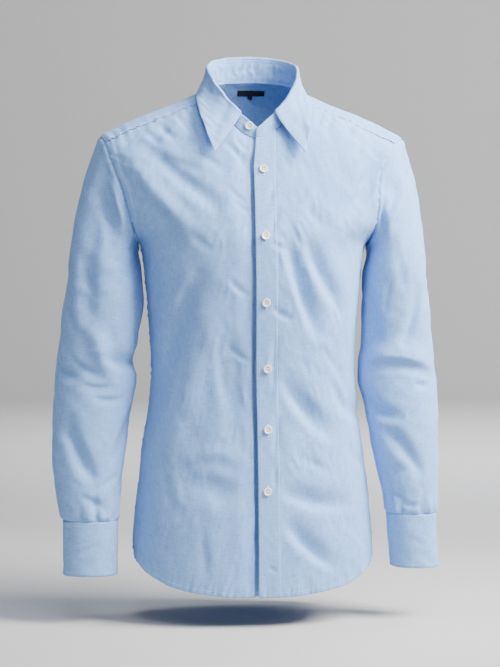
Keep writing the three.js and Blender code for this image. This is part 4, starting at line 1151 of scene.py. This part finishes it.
class Threads:
    """Short thick threads, gathered into one mesh."""

    SIDES = 4

    def __init__(self):
        self.vertices, self.faces, self.count = [], [], 0

    def add(self, start, end, normal, radius, arch=0.0, sink=0.0):
        """Threads from starts to ends. Their ends sink below the cloth and their middles arch above it."""
        start, end, normal = (np.atleast_2d(v).astype(float) for v in (start, end, normal))
        along = unit(end - start)
        beside = unit(np.cross(along, normal))
        above = np.cross(beside, along)
        angles = np.arange(self.SIDES) * 2 * np.pi / self.SIDES
        shoulder = 0.6 * arch
        stations = ((0.0, -sink, 0.55), (0.18, shoulder, 0.95), (0.82, shoulder, 0.95), (1.0, -sink, 0.55))
        rings = []
        for t, height, size in stations:
            centre = lerp(start, end, t) + normal * height
            offset = (
                np.cos(angles)[:, None, None] * beside + np.sin(angles)[:, None, None] * above
            ) * radius * size
            rings.append((centre[None] + offset).transpose(1, 0, 2))
        block = np.concatenate(rings, axis=1)
        each = block.shape[1]
        base = self.count + np.arange(len(block))[:, None, None] * each
        k = np.arange(self.SIDES)
        after = (k + 1) % self.SIDES
        for ring in range(len(stations) - 1):
            low, high = ring * self.SIDES, (ring + 1) * self.SIDES
            quad = np.stack([low + k, low + after, high + after, high + k], -1)
            self.faces += (base + quad[None]).reshape(-1, 4).tolist()
        last = (len(stations) - 1) * self.SIDES
        caps = np.stack([k[::-1], last + k])
        self.faces += (base + caps[None]).reshape(-1, self.SIDES).tolist()
        self.vertices.append(block.reshape(-1, 3))
        self.count += block.shape[0] * each

    def stitches(self, path, normals, pitch=3.0, gap=0.6, radius=0.2):
        """A line of stitches along a path on the cloth."""
        lengths = across_lengths(path[None])[0]
        count = max(1, int(lengths[-1] / pitch))
        starts = np.arange(count) * lengths[-1] / count
        ends = starts + lengths[-1] / count - gap
        at = [
            np.stack([np.interp(s, lengths, source[:, k]) for k in range(3)], -1)
            for s, source in ((starts, path), (ends, path), ((starts + ends) / 2, normals))
        ]
        self.add(at[0], at[1], unit(at[2]), radius, 0.2, 0.15)

    def piece(self, name):
        mesh = bpy.data.meshes.new(name)
        mesh.from_pydata((np.concatenate(self.vertices) * MM).tolist(), [], self.faces)
        mesh.polygons.foreach_set("use_smooth", np.ones(len(self.faces), bool))
        thread_object = bpy.data.objects.new(name, mesh)
        bpy.context.scene.collection.objects.link(thread_object)
        return thread_object


def line_beside(points, edge, distance, first=0, last=None, wraps=False):
    """A path on a grid at a distance from one of its edges, and the way the cloth faces there."""
    normals = grid_normals(points, wraps)
    if edge in ("left", "right"):
        grid, facing = points, normals
    else:
        grid, facing = points.transpose(1, 0, 2), normals.transpose(1, 0, 2)
    if edge in ("right", "top"):
        grid, facing = grid[:, ::-1], facing[:, ::-1]
    lengths = across_lengths(grid)
    path, ways = [], []
    for row, way, length in zip(grid, facing, lengths):
        path.append([np.interp(distance, length, row[:, k]) for k in range(3)])
        ways.append([np.interp(distance, length, way[:, k]) for k in range(3)])
    return np.array(path)[first:last], unit(np.array(ways)[first:last])


# Colours and materials.


def linear(hex_code):
    channels = [int(hex_code[i : i + 2], 16) / 255 for i in (1, 3, 5)]
    return tuple(c / 12.92 if c <= 0.04045 else ((c + 0.055) / 1.055) ** 2.4 for c in channels) + (1.0,)


def add_node(material, kind, inputs=None, **settings):
    """Adds a node. An input is a value, or another node's output to link."""
    node = material.node_tree.nodes.new(kind)
    for name, value in settings.items():
        setattr(node, name, value)
    for name, value in (inputs or {}).items():
        if isinstance(value, bpy.types.NodeSocket):
            material.node_tree.links.new(value, node.inputs[name])
        else:
            node.inputs[name].default_value = value
    return node


def new_material(name):
    material = bpy.data.materials.new(name)
    material.use_nodes = True
    material.node_tree.nodes.clear()
    return material


def finish_material(material, shader):
    add_node(material, "ShaderNodeOutputMaterial", {"Surface": shader.outputs[0]})
    return material


def woven_oxford_cotton():
    """Oxford cotton, woven from blue warp and white weft and washed soft. The two colours mix into a pale
    mottled blue with a dry, faintly fuzzy face. Its threads lie 0.4 mm apart, and are drawn 0.9 mm apart so
    that they show."""
    material = new_material("woven_oxford_cotton")
    thread_pitch = 0.9 * MM
    place = add_node(material, "ShaderNodeUVMap", uv_map="cloth").outputs[0]
    threads = add_node(
        material, "ShaderNodeVectorMath", {0: place, "Scale": 1 / thread_pitch}, operation="SCALE"
    ).outputs[0]
    parts = add_node(material, "ShaderNodeSeparateXYZ", {0: threads})
    rounded = []
    for part in parts.outputs[:2]:
        turned = add_node(material, "ShaderNodeMath", {0: part, 1: math.pi}, operation="MULTIPLY")
        wave = add_node(material, "ShaderNodeMath", {0: turned.outputs[0]}, operation="SINE")
        rounded.append(
            add_node(material, "ShaderNodeMath", {0: wave.outputs[0]}, operation="ABSOLUTE").outputs[0]
        )
    over = add_node(material, "ShaderNodeTexChecker", {"Vector": threads, "Scale": 1.0}).outputs["Fac"]
    height = add_node(
        material, "ShaderNodeMix", {0: over, 2: rounded[0], 3: rounded[1]}, data_type="FLOAT"
    ).outputs[0]
    # Threads are thicker and thinner along their run, so each shows more blue or more white for some 15 mm.
    shares = []
    for stretch in ((1.0, 0.1, 1.0), (0.1, 1.0, 1.0)):
        pulled = add_node(
            material, "ShaderNodeVectorMath", {0: threads, 1: stretch}, operation="MULTIPLY"
        ).outputs[0]
        noise = add_node(
            material, "ShaderNodeTexNoise", {"Vector": pulled, "Scale": 0.55, "Detail": 3.0, "Roughness": 0.7}
        )
        shares.append(
            add_node(
                material,
                "ShaderNodeMapRange",
                {"Value": noise.outputs["Fac"], "From Min": 0.22, "From Max": 0.78},
            ).outputs[0]
        )
    mixed = add_node(
        material, "ShaderNodeMix", {0: over, 2: shares[0], 3: shares[1]}, data_type="FLOAT"
    ).outputs[0]
    colour = add_node(
        material,
        "ShaderNodeMix",
        {0: mixed, 6: linear("#a8caf1"), 7: linear("#4481cf")},
        data_type="RGBA",
    ).outputs[2]
    bump = add_node(
        material, "ShaderNodeBump", {"Height": height, "Strength": 0.35, "Distance": 0.12 * MM}
    ).outputs[0]
    shader = add_node(
        material,
        "ShaderNodeBsdfPrincipled",
        {
            "Base Color": colour,
            "Roughness": 0.86,
            "IOR": 1.5,
            "Specular IOR Level": 0.25,
            "Sheen Weight": 0.1,
            "Sheen Roughness": 0.45,
            "Normal": bump,
        },
    )
    return finish_material(material, shader)


def cast_resin():
    """Polyester resin, cast and tumbled. White, smooth and a little see-through, with a soft gloss."""
    material = new_material("cast_polyester_resin")
    place = add_node(material, "ShaderNodeTexCoord").outputs["Object"]
    cloud = add_node(material, "ShaderNodeTexNoise", {"Vector": place, "Scale": 260.0, "Detail": 3.0})
    colour = add_node(
        material,
        "ShaderNodeMix",
        {0: cloud.outputs["Fac"], 6: linear("#f7f5f0"), 7: linear("#e4e2dc")},
        data_type="RGBA",
    ).outputs[2]
    shader = add_node(
        material,
        "ShaderNodeBsdfPrincipled",
        {"Base Color": colour, "Roughness": 0.28, "IOR": 1.56, "Subsurface Weight": 0.15},
    )
    shader.inputs["Subsurface Radius"].default_value = (0.002, 0.002, 0.0018)
    return finish_material(material, shader)


def spun_thread():
    """Spun polyester thread, twisted from two strands. Dull, and a shade paler than the cloth it is sewn
    into."""
    material = new_material("spun_polyester_thread")
    place = add_node(material, "ShaderNodeTexCoord").outputs["Object"]
    twist = add_node(
        material,
        "ShaderNodeTexWave",
        {"Vector": place, "Scale": 900.0, "Distortion": 1.5},
        bands_direction="DIAGONAL",
    ).outputs["Fac"]
    colour = add_node(
        material,
        "ShaderNodeMix",
        {0: twist, 6: linear("#b9cbe2"), 7: linear("#d9e4f2")},
        data_type="RGBA",
    ).outputs[2]
    bump = add_node(
        material, "ShaderNodeBump", {"Height": twist, "Strength": 0.3, "Distance": 0.05 * MM}
    ).outputs[0]
    shader = add_node(
        material,
        "ShaderNodeBsdfPrincipled",
        {"Base Color": colour, "Roughness": 0.7, "IOR": 1.5, "Specular IOR Level": 0.3, "Normal": bump},
    )
    return finish_material(material, shader)


def woven_satin():
    """Polyester satin, woven black with long floats. Dense and dark, with a low sheen across the floats."""
    material = new_material("woven_polyester_satin")
    place = add_node(material, "ShaderNodeUVMap", uv_map="cloth").outputs[0]
    floats = add_node(
        material,
        "ShaderNodeTexWave",
        {"Vector": place, "Scale": 350.0, "Distortion": 0.6},
        bands_direction="Y",
    ).outputs["Fac"]
    colour = add_node(
        material,
        "ShaderNodeMix",
        {0: floats, 6: linear("#0c0c10"), 7: linear("#1a1a20")},
        data_type="RGBA",
    ).outputs[2]
    bump = add_node(
        material, "ShaderNodeBump", {"Height": floats, "Strength": 0.3, "Distance": 0.05 * MM}
    ).outputs[0]
    shader = add_node(
        material,
        "ShaderNodeBsdfPrincipled",
        {"Base Color": colour, "Roughness": 0.5, "IOR": 1.5, "Sheen Weight": 0.1, "Normal": bump},
    )
    return finish_material(material, shader)


def matte_paper():
    """Seamless background paper, uncoated. It is pale and scatters light evenly."""
    material = new_material("uncoated_background_paper")
    place = add_node(material, "ShaderNodeTexCoord").outputs["Object"]
    grain = add_node(material, "ShaderNodeTexNoise", {"Vector": place, "Scale": 40.0, "Detail": 2.0})
    colour = add_node(
        material,
        "ShaderNodeMix",
        {0: grain.outputs["Fac"], 6: linear("#b2b2b3"), 7: linear("#b6b6b7")},
        data_type="RGBA",
    ).outputs[2]
    shader = add_node(
        material,
        "ShaderNodeBsdfPrincipled",
        {"Base Color": colour, "Roughness": 0.95, "IOR": 1.45, "Specular IOR Level": 0.1},
    )
    return finish_material(material, shader)


OXFORD = woven_oxford_cotton()
RESIN = cast_resin()
THREAD = spun_thread()
SATIN = woven_satin()

# The fronts, the back, the yoke and the sleeves.
fronts = {"left": front_shape(True), "right": front_shape(False)}
back = back_shape((fronts["left"][:, -1], fronts["right"][:, 0]))
yoke, yoke_turns = yoke_shape(fronts, back)
sleeves = {name: sleeve_shape(name, armhole_loop(name, fronts, back, yoke)) for name in ("left", "right")}
cuffs = {name: cuff_shape(name) for name in ("left", "right")}
edge = neck_edge(fronts, yoke, yoke_turns)
stand, stand_turns = stand_shape(edge)
leaf = leaf_shape(stand, stand_turns)


def on_body(piece, slot_name, material, *nodes):
    piece.data.materials.append(material)
    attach(piece, "root")
    if nodes:
        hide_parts(*nodes)
    return piece


cloth_pieces = {}


def cloth(name, points, thickness, wraps=False):
    piece = shell(name, points, thickness, wraps)
    cloth_pieces[name] = on_body(piece, "cotton_oxford", OXFORD, name)
    return piece


def placed(points, name):
    """A sleeve's or a cuff's grid, worked out on the wearer's left, where it belongs."""
    return points if name == "left" else mirrored(points)[:, ::-1]


front_left = drawn_back(sewn(fronts["left"], over=["right"], under=["top"]), left=1.0)
front_right = sewn(fronts["right"], over=["left"], under=["top"])
back_cloth = sewn(back, under=["left", "right", "top"])
yoke_cloth = sewn(yoke, over=["left", "right", "bottom"])
cloth("front_left", front_left, CLOTH)
cloth("front_right", front_right, CLOTH)
cloth("back", back_cloth, CLOTH)
cloth("yoke", yoke_cloth, CLOTH)
for name in ("left", "right"):
    cloth(f"sleeve_{name}", placed(sleeves[name][0], name), CLOTH, True)
    cloth(f"cuff_{name}", placed(cuffs[name], name), CUFF_CLOTH)
cloth("collar_stand", stand, STAND_CLOTH)
cloth("collar_leaf", leaf, LEAF_CLOTH)

# The placket lies on the upper front and turns over its edge.
strip_columns = FRONT_COLUMNS <= PLACKET_END
fine = np.linspace(0, 1, 27)
strip = fronts["left"][:, strip_columns]
strip_normals = grid_normals(fronts["left"])[:, strip_columns]
share = np.linspace(0, 1, strip.shape[1])
strip = np.stack(
    [[np.interp(fine, share, row[:, k]) for k in range(3)] for row in strip + strip_normals * 1.2]
).transpose(0, 2, 1)
outward = unit(strip[:, 0] - strip[:, 1])
turned = [strip[:, 0] + outward * out - strip_normals[:, 0] * down for out, down in ((0.45, 1.5), (0.6, 0.5))]
strip = np.concatenate([np.stack(turned, axis=1), strip], axis=1)
cloth("placket", strip, STRIP)


# Buttons, buttonholes and stitching.


def nearest(points, normals, place):
    """The point of a grid nearest to a place, and the way that the cloth faces there."""
    distance = np.linalg.norm(points - place, axis=-1)
    i, j = np.unravel_index(np.argmin(distance), distance.shape)
    return points[i, j], normals[i, j], i, j


def button_mesh():
    """A four-hole button with a raised rim, lying on XY with its back at z = 0, in millimetres."""
    thickness, hole, spread = 2.5, 1.05, 1.6
    profile = [(0, 0), (4.2, 0), (5.4, 0.35), (6.1, 0.95), (6.3, 1.5), (6.12, 2.1), (5.7, 2.43), (5.2, 2.5)]
    profile += [(4.7, 2.38), (4.2, 2.02), (3.7, 1.8), (2.6, 1.62), (0, 1.55)]
    sides = 56
    mesh = bpy.data.meshes.new("button")
    vertices, faces = [(0, 0, 0)], []
    for r, z in profile[1:-1]:
        angles = np.arange(sides) * 2 * np.pi / sides
        vertices += [(r * math.cos(a), r * math.sin(a), z) for a in angles]
    vertices.append((0, 0, profile[-1][1]))
    last = len(vertices) - 1
    for k in range(sides):
        faces.append((0, 1 + (k + 1) % sides, 1 + k))
        for ring in range(len(profile) - 3):
            low, high = 1 + ring * sides, 1 + (ring + 1) * sides
            faces.append((low + k, low + (k + 1) % sides, high + (k + 1) % sides, high + k))
        top = 1 + (len(profile) - 3) * sides
        faces.append((top + k, top + (k + 1) % sides, last))
    mesh.from_pydata(vertices, [], faces)
    disc = bpy.data.objects.new("button_blank", mesh)
    bpy.context.scene.collection.objects.link(disc)
    sides = 14
    drills = bpy.data.meshes.new("drills")
    vertices, faces = [], []
    for x in (-spread, spread):
        for y in (-spread, spread):
            base = len(vertices)
            for z in (-1, thickness + 1):
                vertices += [
                    (x + hole * math.cos(a), y + hole * math.sin(a), z)
                    for a in np.arange(sides) * 2 * np.pi / sides
                ]
            top = base + sides
            for k in range(sides):
                after = (k + 1) % sides
                faces.append((base + k, base + after, top + after, top + k))
            faces += [tuple(range(top - 1, base - 1, -1)), tuple(range(top, top + sides))]
    drills.from_pydata(vertices, [], faces)
    drill = bpy.data.objects.new("drills", drills)
    bpy.context.scene.collection.objects.link(drill)
    cut = disc.modifiers.new("holes", "BOOLEAN")
    cut.operation, cut.object, cut.solver = "DIFFERENCE", drill, "EXACT"
    shape = bpy.data.meshes.new_from_object(disc.evaluated_get(bpy.context.evaluated_depsgraph_get()))
    for scratch in (disc, drill):
        bpy.data.objects.remove(scratch)
    shape.transform(Matrix.Scale(MM, 4))
    for polygon in shape.polygons:
        polygon.use_smooth = len(polygon.vertices) < 5 or abs(polygon.normal.z) < 0.99
    shape.name = "button"
    shape.materials.append(RESIN)
    return shape


BUTTON = button_mesh()
button_threads = Threads()


def frame_at(normal, upright=(0, 0, 1)):
    """Right and up on the cloth at a place that faces along normal."""
    right = unit(np.cross(upright, normal))
    return right, unit(np.cross(normal, right))


def sew_button(name, points, size=1.0):
    low, high = (np.array(corner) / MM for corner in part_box(name))
    normals = evened_normals(points)
    place, normal, _, _ = nearest(points, normals, (low + high) / 2)
    right, up = frame_at(normal)
    centre = (low + high) / 2
    centre = centre - normal * np.dot(centre - place, normal) + normal * 0.45
    button = bpy.data.objects.new(f"{name}_resin", BUTTON)
    bpy.context.scene.collection.objects.link(button)
    turn = np.stack([right * size, up * size, normal * size, centre * MM], axis=1)
    button.matrix_world = Matrix([*turn.tolist(), (0, 0, 0, 1)])
    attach(button, "root")
    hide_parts(name)
    for x in (-1.6, 1.6):
        for strand in (-0.2, 0.2):
            top = centre + (normal * 1.62 + right * (x + strand)) * size
            half = up * 1.75 * size
            button_threads.add(top - half, top + half, normal, 0.19, 0.3, 0.8)
    for angle in np.arange(8) * np.pi / 4:
        side = right * math.cos(angle) + up * math.sin(angle)
        foot = centre - normal * 0.6 + side * 0.9
        button_threads.add(foot, foot + normal * 0.75 - side * 0.2, side, 0.3)
    return centre, normal, right, up


def evened_normals(points):
    """The way the cloth faces, with its small unevenness left out."""
    normals = grid_normals(points)
    for _ in range(6):
        padded = np.pad(normals, ((1, 1), (1, 1), (0, 0)), mode="edge")
        normals = (padded[:-2, 1:-1] + padded[2:, 1:-1] + padded[1:-1, :-2] + padded[1:-1, 2:]) / 4
    return unit(normals)


def buttonhole(threads, points, centre, normal, along, half=8.0):
    """A worked buttonhole: close stitches across both lips of the slit, and a bar at each end."""
    lips = unit(np.cross(along, normal))
    normals = grid_normals(points)

    def on_cloth(place):
        spot, way, _, _ = nearest(points, normals, place)
        return place - normal * np.dot(place - spot, normal)

    for t in np.arange(-half, half + 0.01, 0.42):
        spot = on_cloth(centre + along * t)
        for side in (-1, 1):
            inner, outer = spot + lips * 0.25 * side, spot + lips * 1.35 * side
            threads.add(inner, outer, normal, 0.24, 0.22, 0.1)
    for t in (-half - 0.3, half + 0.3):
        for k in (-0.5, 0.0, 0.5):
            spot = on_cloth(centre + along * (t + k))
            threads.add(spot - lips * 1.5, spot + lips * 1.5, normal, 0.26, 0.3, 0.1)


hole_threads = Threads()
for k in range(2, 8):
    centre, normal, right, up = sew_button(f"button_{k}", strip)
    low_by = 0.9 if k % 2 else -0.9
    buttonhole(hole_threads, strip, centre + up * low_by, normal, up)
sew_button("button_1", stand)
for name in ("left", "right"):
    cuff = placed(cuffs[name], name)
    centre, normal, right, up = sew_button(f"cuff_button_{name}", cuff, 0.9)
    buttonhole(hole_threads, cuff, centre + right * 0.9, normal, right, 7.0)

# The stand's own buttonhole, near the end that laps over.
stand_normals = evened_normals(stand)
low_end = stand[:, 14]
spot, way = low_end[9], stand_normals[9, 14]
buttonhole(hole_threads, stand, spot, way, unit(stand[9, 16] - stand[9, 12]), 7.0)


def slit_strip(name):
    """The strip beside the sleeve's slit above the cuff's lap, with a pointed top."""
    points, turns = sleeves[name]
    normals = grid_normals(points, True)
    up = up_lengths(points)
    middle_column = int(np.argmin(np.abs(turns - SLIT_TURN)))
    rows = np.nonzero((up[:, middle_column] > 3) & (up[:, middle_column] < SLIT_REACH))[0]
    strip_rows = []
    for i in rows:
        from_tip = SLIT_REACH - up[i, middle_column]
        half = 11.5 * min(1.0, 0.12 + from_tip / 13)
        ring = np.concatenate([points[i], points[i, :1]])[None]
        degrees_each = 360 / across_lengths(ring)[0, -1]
        at = SLIT_TURN + np.linspace(-half, half, 13) * degrees_each
        lifted = points[i] + normals[i] * (LAY + STRIP)
        strip_rows.append(np.stack([np.interp(at, turns, lifted[:, k]) for k in range(3)], axis=-1))
    return np.array(strip_rows)


stitching = {name: Threads() for name in ("body", "sleeves", "bands")}


def stitch(threads, points, edge, distances, first=0, last=None, wraps=False):
    for distance in distances:
        path, ways = line_beside(points, edge, distance, first, last, wraps)
        threads.stitches(path, ways)


body_threads = stitching["body"]
for grid, side in ((fronts["left"], "right"), (fronts["right"], "left")):
    stitch(body_threads, grid, side, (1.4, 9.0), first=ARMPIT_ROW + 2)
    stitch(body_threads, grid, "bottom", (6.5,), first=1, last=-1)
for side in ("left", "right"):
    stitch(body_threads, back, side, (1.4, 9.0), first=ARMPIT_ROW + 2)
    stitch(body_threads, back, side, (2.0, 8.0), first=2, last=ARMPIT_ROW - 2)
    stitch(body_threads, yoke_cloth, side, (1.6, 7.0), first=2)
stitch(body_threads, back, "bottom", (6.5,), first=1, last=-1)
over_back = np.nonzero((YOKE_COLUMNS >= 5) & (YOKE_COLUMNS <= 25))[0]
stitch(body_threads, yoke_cloth, "bottom", (1.6, 7.0), over_back[0], over_back[-1])
stitch(body_threads, yoke_cloth, "bottom", (1.6, 9.0), 1, over_back[0])
stitch(body_threads, yoke_cloth, "bottom", (1.6, 9.0), over_back[-1], -1)

for name in ("left", "right"):
    sleeve_points, _ = sleeves[name]
    lengthwise = placed(np.roll(sleeve_points, 20, axis=1), name)
    at = 20 if name == "left" else lengthwise.shape[1] - 21
    normals = grid_normals(lengthwise)
    for offset in (0, 3):
        stitching["sleeves"].stitches(lengthwise[2:-2, at + offset], normals[2:-2, at + offset])
    strip_points = slit_strip(name)
    strip_placed = strip_points if name == "left" else mirrored(strip_points)[:, ::-1]
    cloth(f"sleeve_placket_{name}", strip_placed, STRIP)
    for side in ("left", "right", "top"):
        stitch(stitching["bands"], strip_placed, side, (1.6,))
    cuff = placed(cuffs[name], name)
    for side in ("left", "right"):
        stitch(stitching["bands"], cuff, side, (5.0,), first=2, last=-2)
    for side in ("top", "bottom"):
        stitch(stitching["bands"], cuff, side, (5.0,), first=4, last=-4)
stitch(stitching["bands"], strip, "left", (6.2,), first=3)
stitch(stitching["bands"], strip, "right", (2.2,), first=3)
for side, distance in (("bottom", 2.4), ("top", 2.0), ("left", 2.4), ("right", 2.4)):
    stitch(stitching["bands"], stand, side, (distance,), first=1, last=-1)
stitch(stitching["bands"], leaf, "bottom", (5.0,), first=4, last=-4)
for side in ("left", "right"):
    stitch(stitching["bands"], leaf, side, (5.0,), first=3, last=28)

stitching.update(buttonholes=hole_threads, buttons=button_threads)
sewn_in = {}
for name, threads in stitching.items():
    sewn_in[name] = on_body(threads.piece(f"stitching_{name}"), "cotton_oxford", THREAD)


# The label and its size tab, sewn inside the yoke below the neck seam.


def inside_yoke(left, right, top, bottom, columns, rows):
    """A grid on the yoke's inside. Sizes are left and right of the middle, and down from the neck seam."""
    normals = grid_normals(yoke_cloth)
    lengths = np.linalg.norm(np.diff(yoke_cloth, axis=0), axis=-1).mean(axis=1)
    down = np.concatenate([[0], np.cumsum(lengths[::-1])])
    across = across_lengths(yoke_cloth)
    middle_column = yoke_cloth.shape[1] // 2
    grid = []
    for depth in np.linspace(bottom, top, rows):
        row = len(yoke_cloth) - 1 - np.interp(depth, down, np.arange(len(down)))
        i = min(int(row), len(yoke_cloth) - 2)
        line = lerp(yoke_cloth[i], yoke_cloth[i + 1], row - i)
        ways = lerp(normals[i], normals[i + 1], row - i)
        at = across[i] - across[i, middle_column]
        wanted = -np.linspace(left, right, columns)
        places = np.stack([np.interp(wanted, at, line[:, k]) for k in range(3)], axis=-1)
        facing = unit(np.stack([np.interp(wanted, at, ways[:, k]) for k in range(3)], axis=-1))
        grid.append(places - facing * (CLOTH + 0.35))
    return np.array(grid)


def label(name, points):
    across, up = across_lengths(points), up_lengths(points)
    piece = shell(name, moved(points, 0.1 * waves(across, up, 9, 101)), 0.5)
    cloth_pieces[name] = on_body(piece, "label_satin", SATIN, name)


label("neck_label", inside_yoke(27, -16, 15, 26, 44, 14))
label("size_tab", inside_yoke(8, 1, 26.4, 33, 10, 9))

# The flat width and length of what shows of each sheet in metres, its area in square metres where it isn't
# a rectangle, how it is held, what it rests on, and the sewing that belongs to it.
SHEETS = (
    ("front_left", 0.292, 0.787, 0.167, "hung", ["yoke", "back"], []),
    ("front_right", 0.31, 0.784, 0.185, "hung", ["yoke", "back"], []),
    ("back", 0.573, 0.663, 0.292, "hung", ["yoke"], ["body"]),
    ("yoke", 0.49, 0.23, 0.095, "draped", [], []),
    ("placket", 0.035, 0.706, 0.0232, "folded", ["front_left"], ["buttonholes", "buttons"]),
    ("collar_stand", 0.524, 0.037, 0.0148, "folded", ["yoke", "front_left", "front_right"], []),
    ("collar_leaf", 0.567, 0.092, 0.027, "folded", ["collar_stand"], ["bands"]),
    ("sleeve_left", 0.506, 0.587, 0.1714, "hung", ["yoke", "front_left", "back"], ["sleeves"]),
    ("sleeve_right", 0.492, 0.599, 0.1779, "hung", ["yoke", "front_right", "back"], []),
    ("sleeve_placket_left", 0.024, 0.115, 0.0026, "laid", ["sleeve_left"], []),
    ("sleeve_placket_right", 0.023, 0.115, 0.0025, "laid", ["sleeve_right"], []),
    ("cuff_left", 0.265, 0.08, None, "folded", ["sleeve_left"], []),
    ("cuff_right", 0.265, 0.08, None, "folded", ["sleeve_right"], []),
    ("neck_label", 0.043, 0.011, None, "laid", ["yoke"], []),
)
for name, width, length, area, held, rests_on, threads in SHEETS:
    on_it = [sewn_in[thread] for thread in threads]
    if name == "neck_label":
        on_it.append(cloth_pieces["size_tab"])

# The camera stands where the photograph was taken from, a little to the wearer's right.
def look_at(place, target):
    return (Vector(target) - Vector(place)).to_track_quat("-Z", "Y")


AZIMUTH, ELEVATION = math.radians(-6), math.radians(1.5)
DISTANCE = 3.0
camera_data = bpy.data.cameras.new("camera")
camera_data.lens = 105.16
camera_data.sensor_width = 36
camera = bpy.data.objects.new("camera", camera_data)
bpy.context.scene.collection.objects.link(camera)
away = Vector(
    (
        math.sin(AZIMUTH) * math.cos(ELEVATION),
        -math.cos(AZIMUTH) * math.cos(ELEVATION),
        math.sin(ELEVATION),
    )
)
sideways = Vector((math.cos(AZIMUTH), math.sin(AZIMUTH), 0))
aim = Vector((0, 0, -0.362)) - sideways * 0.00385
camera.location = aim + away * DISTANCE
camera.rotation_mode = "QUATERNION"
camera.rotation_quaternion = (-away).to_track_quat("-Z", "Y")
camera_data.clip_start, camera_data.clip_end = 0.05, 60
bpy.context.scene.camera = camera


# A round sweep of background paper, far enough out for a camera on any side.
def paper_sweep():
    floor_z, flat, bend, rise = -0.797, 5.6, 1.6, 5.0
    profile = [(0.0, floor_z), (flat * 0.5, floor_z), (flat, floor_z)]
    for angle in np.linspace(0, np.pi / 2, 12)[1:]:
        profile.append((flat + bend * math.sin(angle), floor_z + bend * (1 - math.cos(angle))))
    profile.append((flat + bend, floor_z + rise))
    sides = 96
    vertices = [(0.0, 0.0, floor_z)]
    for radius, height in profile[1:]:
        for k in range(sides):
            angle = 2 * np.pi * k / sides
            vertices.append((radius * math.cos(angle), radius * math.sin(angle), height))
    faces = [(0, 1 + k, 1 + (k + 1) % sides) for k in range(sides)]
    for ring in range(len(profile) - 2):
        low, high = 1 + ring * sides, 1 + (ring + 1) * sides
        for k in range(sides):
            faces.append((low + k, high + k, high + (k + 1) % sides, low + (k + 1) % sides))
    mesh = bpy.data.meshes.new("background_paper")
    mesh.from_pydata(vertices, [], faces)
    mesh.polygons.foreach_set("use_smooth", np.ones(len(faces), bool))
    mesh.materials.append(matte_paper())
    paper = bpy.data.objects.new("background_paper", mesh)
    bpy.context.scene.collection.objects.link(paper)
    return paper


paper_sweep()


def soft_light(name, place, target, size, power, colour="#ffffff", spread=180):
    data = bpy.data.lights.new(name, "AREA")
    data.shape = "RECTANGLE"
    data.size, data.size_y = size
    data.energy = power
    data.color = linear(colour)[:3]
    data.spread = math.radians(spread)
    light = bpy.data.objects.new(name, data)
    light.location = place
    light.rotation_mode = "QUATERNION"
    light.rotation_quaternion = look_at(place, target)
    light.visible_camera = False
    bpy.context.scene.collection.objects.link(light)


soft_light("key", (1.29, -0.68, 0.92), (0.0, 0.0, -0.3), (1.1, 1.1), 74, "#fffaf2", 110)
soft_light("fill", (-2.4, -2.8, 0.3), (0.0, 0.0, -0.4), (2.0, 2.0), 2, "#dfeaff", 80)
soft_light("above", (0.1, -1.5, 1.75), (0.0, 0.0, -0.3), (1.4, 1.4), 10, "#eef4ff", 80)
soft_light("behind", (2.0, 2.1, 1.4), (0.0, 0.0, -0.35), (2.0, 2.0), 45, "#eef4ff", 110)
# The paper behind is lit on its own, on each side that a camera may look to.
for turn, power in ((68, 330), (180, 150), (270, 130), (0, 140)):
    around = Vector((math.cos(math.radians(turn)), math.sin(math.radians(turn)), 0))
    soft_light(f"paper_{turn}", around * 2.3 + Vector((0, 0, 1.9)), around * 6.0, (2.5, 1.2), power)

world = bpy.data.worlds.new("studio")
world.use_nodes = True
background = next(node for node in world.node_tree.nodes if node.type == "BACKGROUND")
background.inputs["Color"].default_value = linear("#dfe8f6")
background.inputs["Strength"].default_value = 0.15
bpy.context.scene.world = world
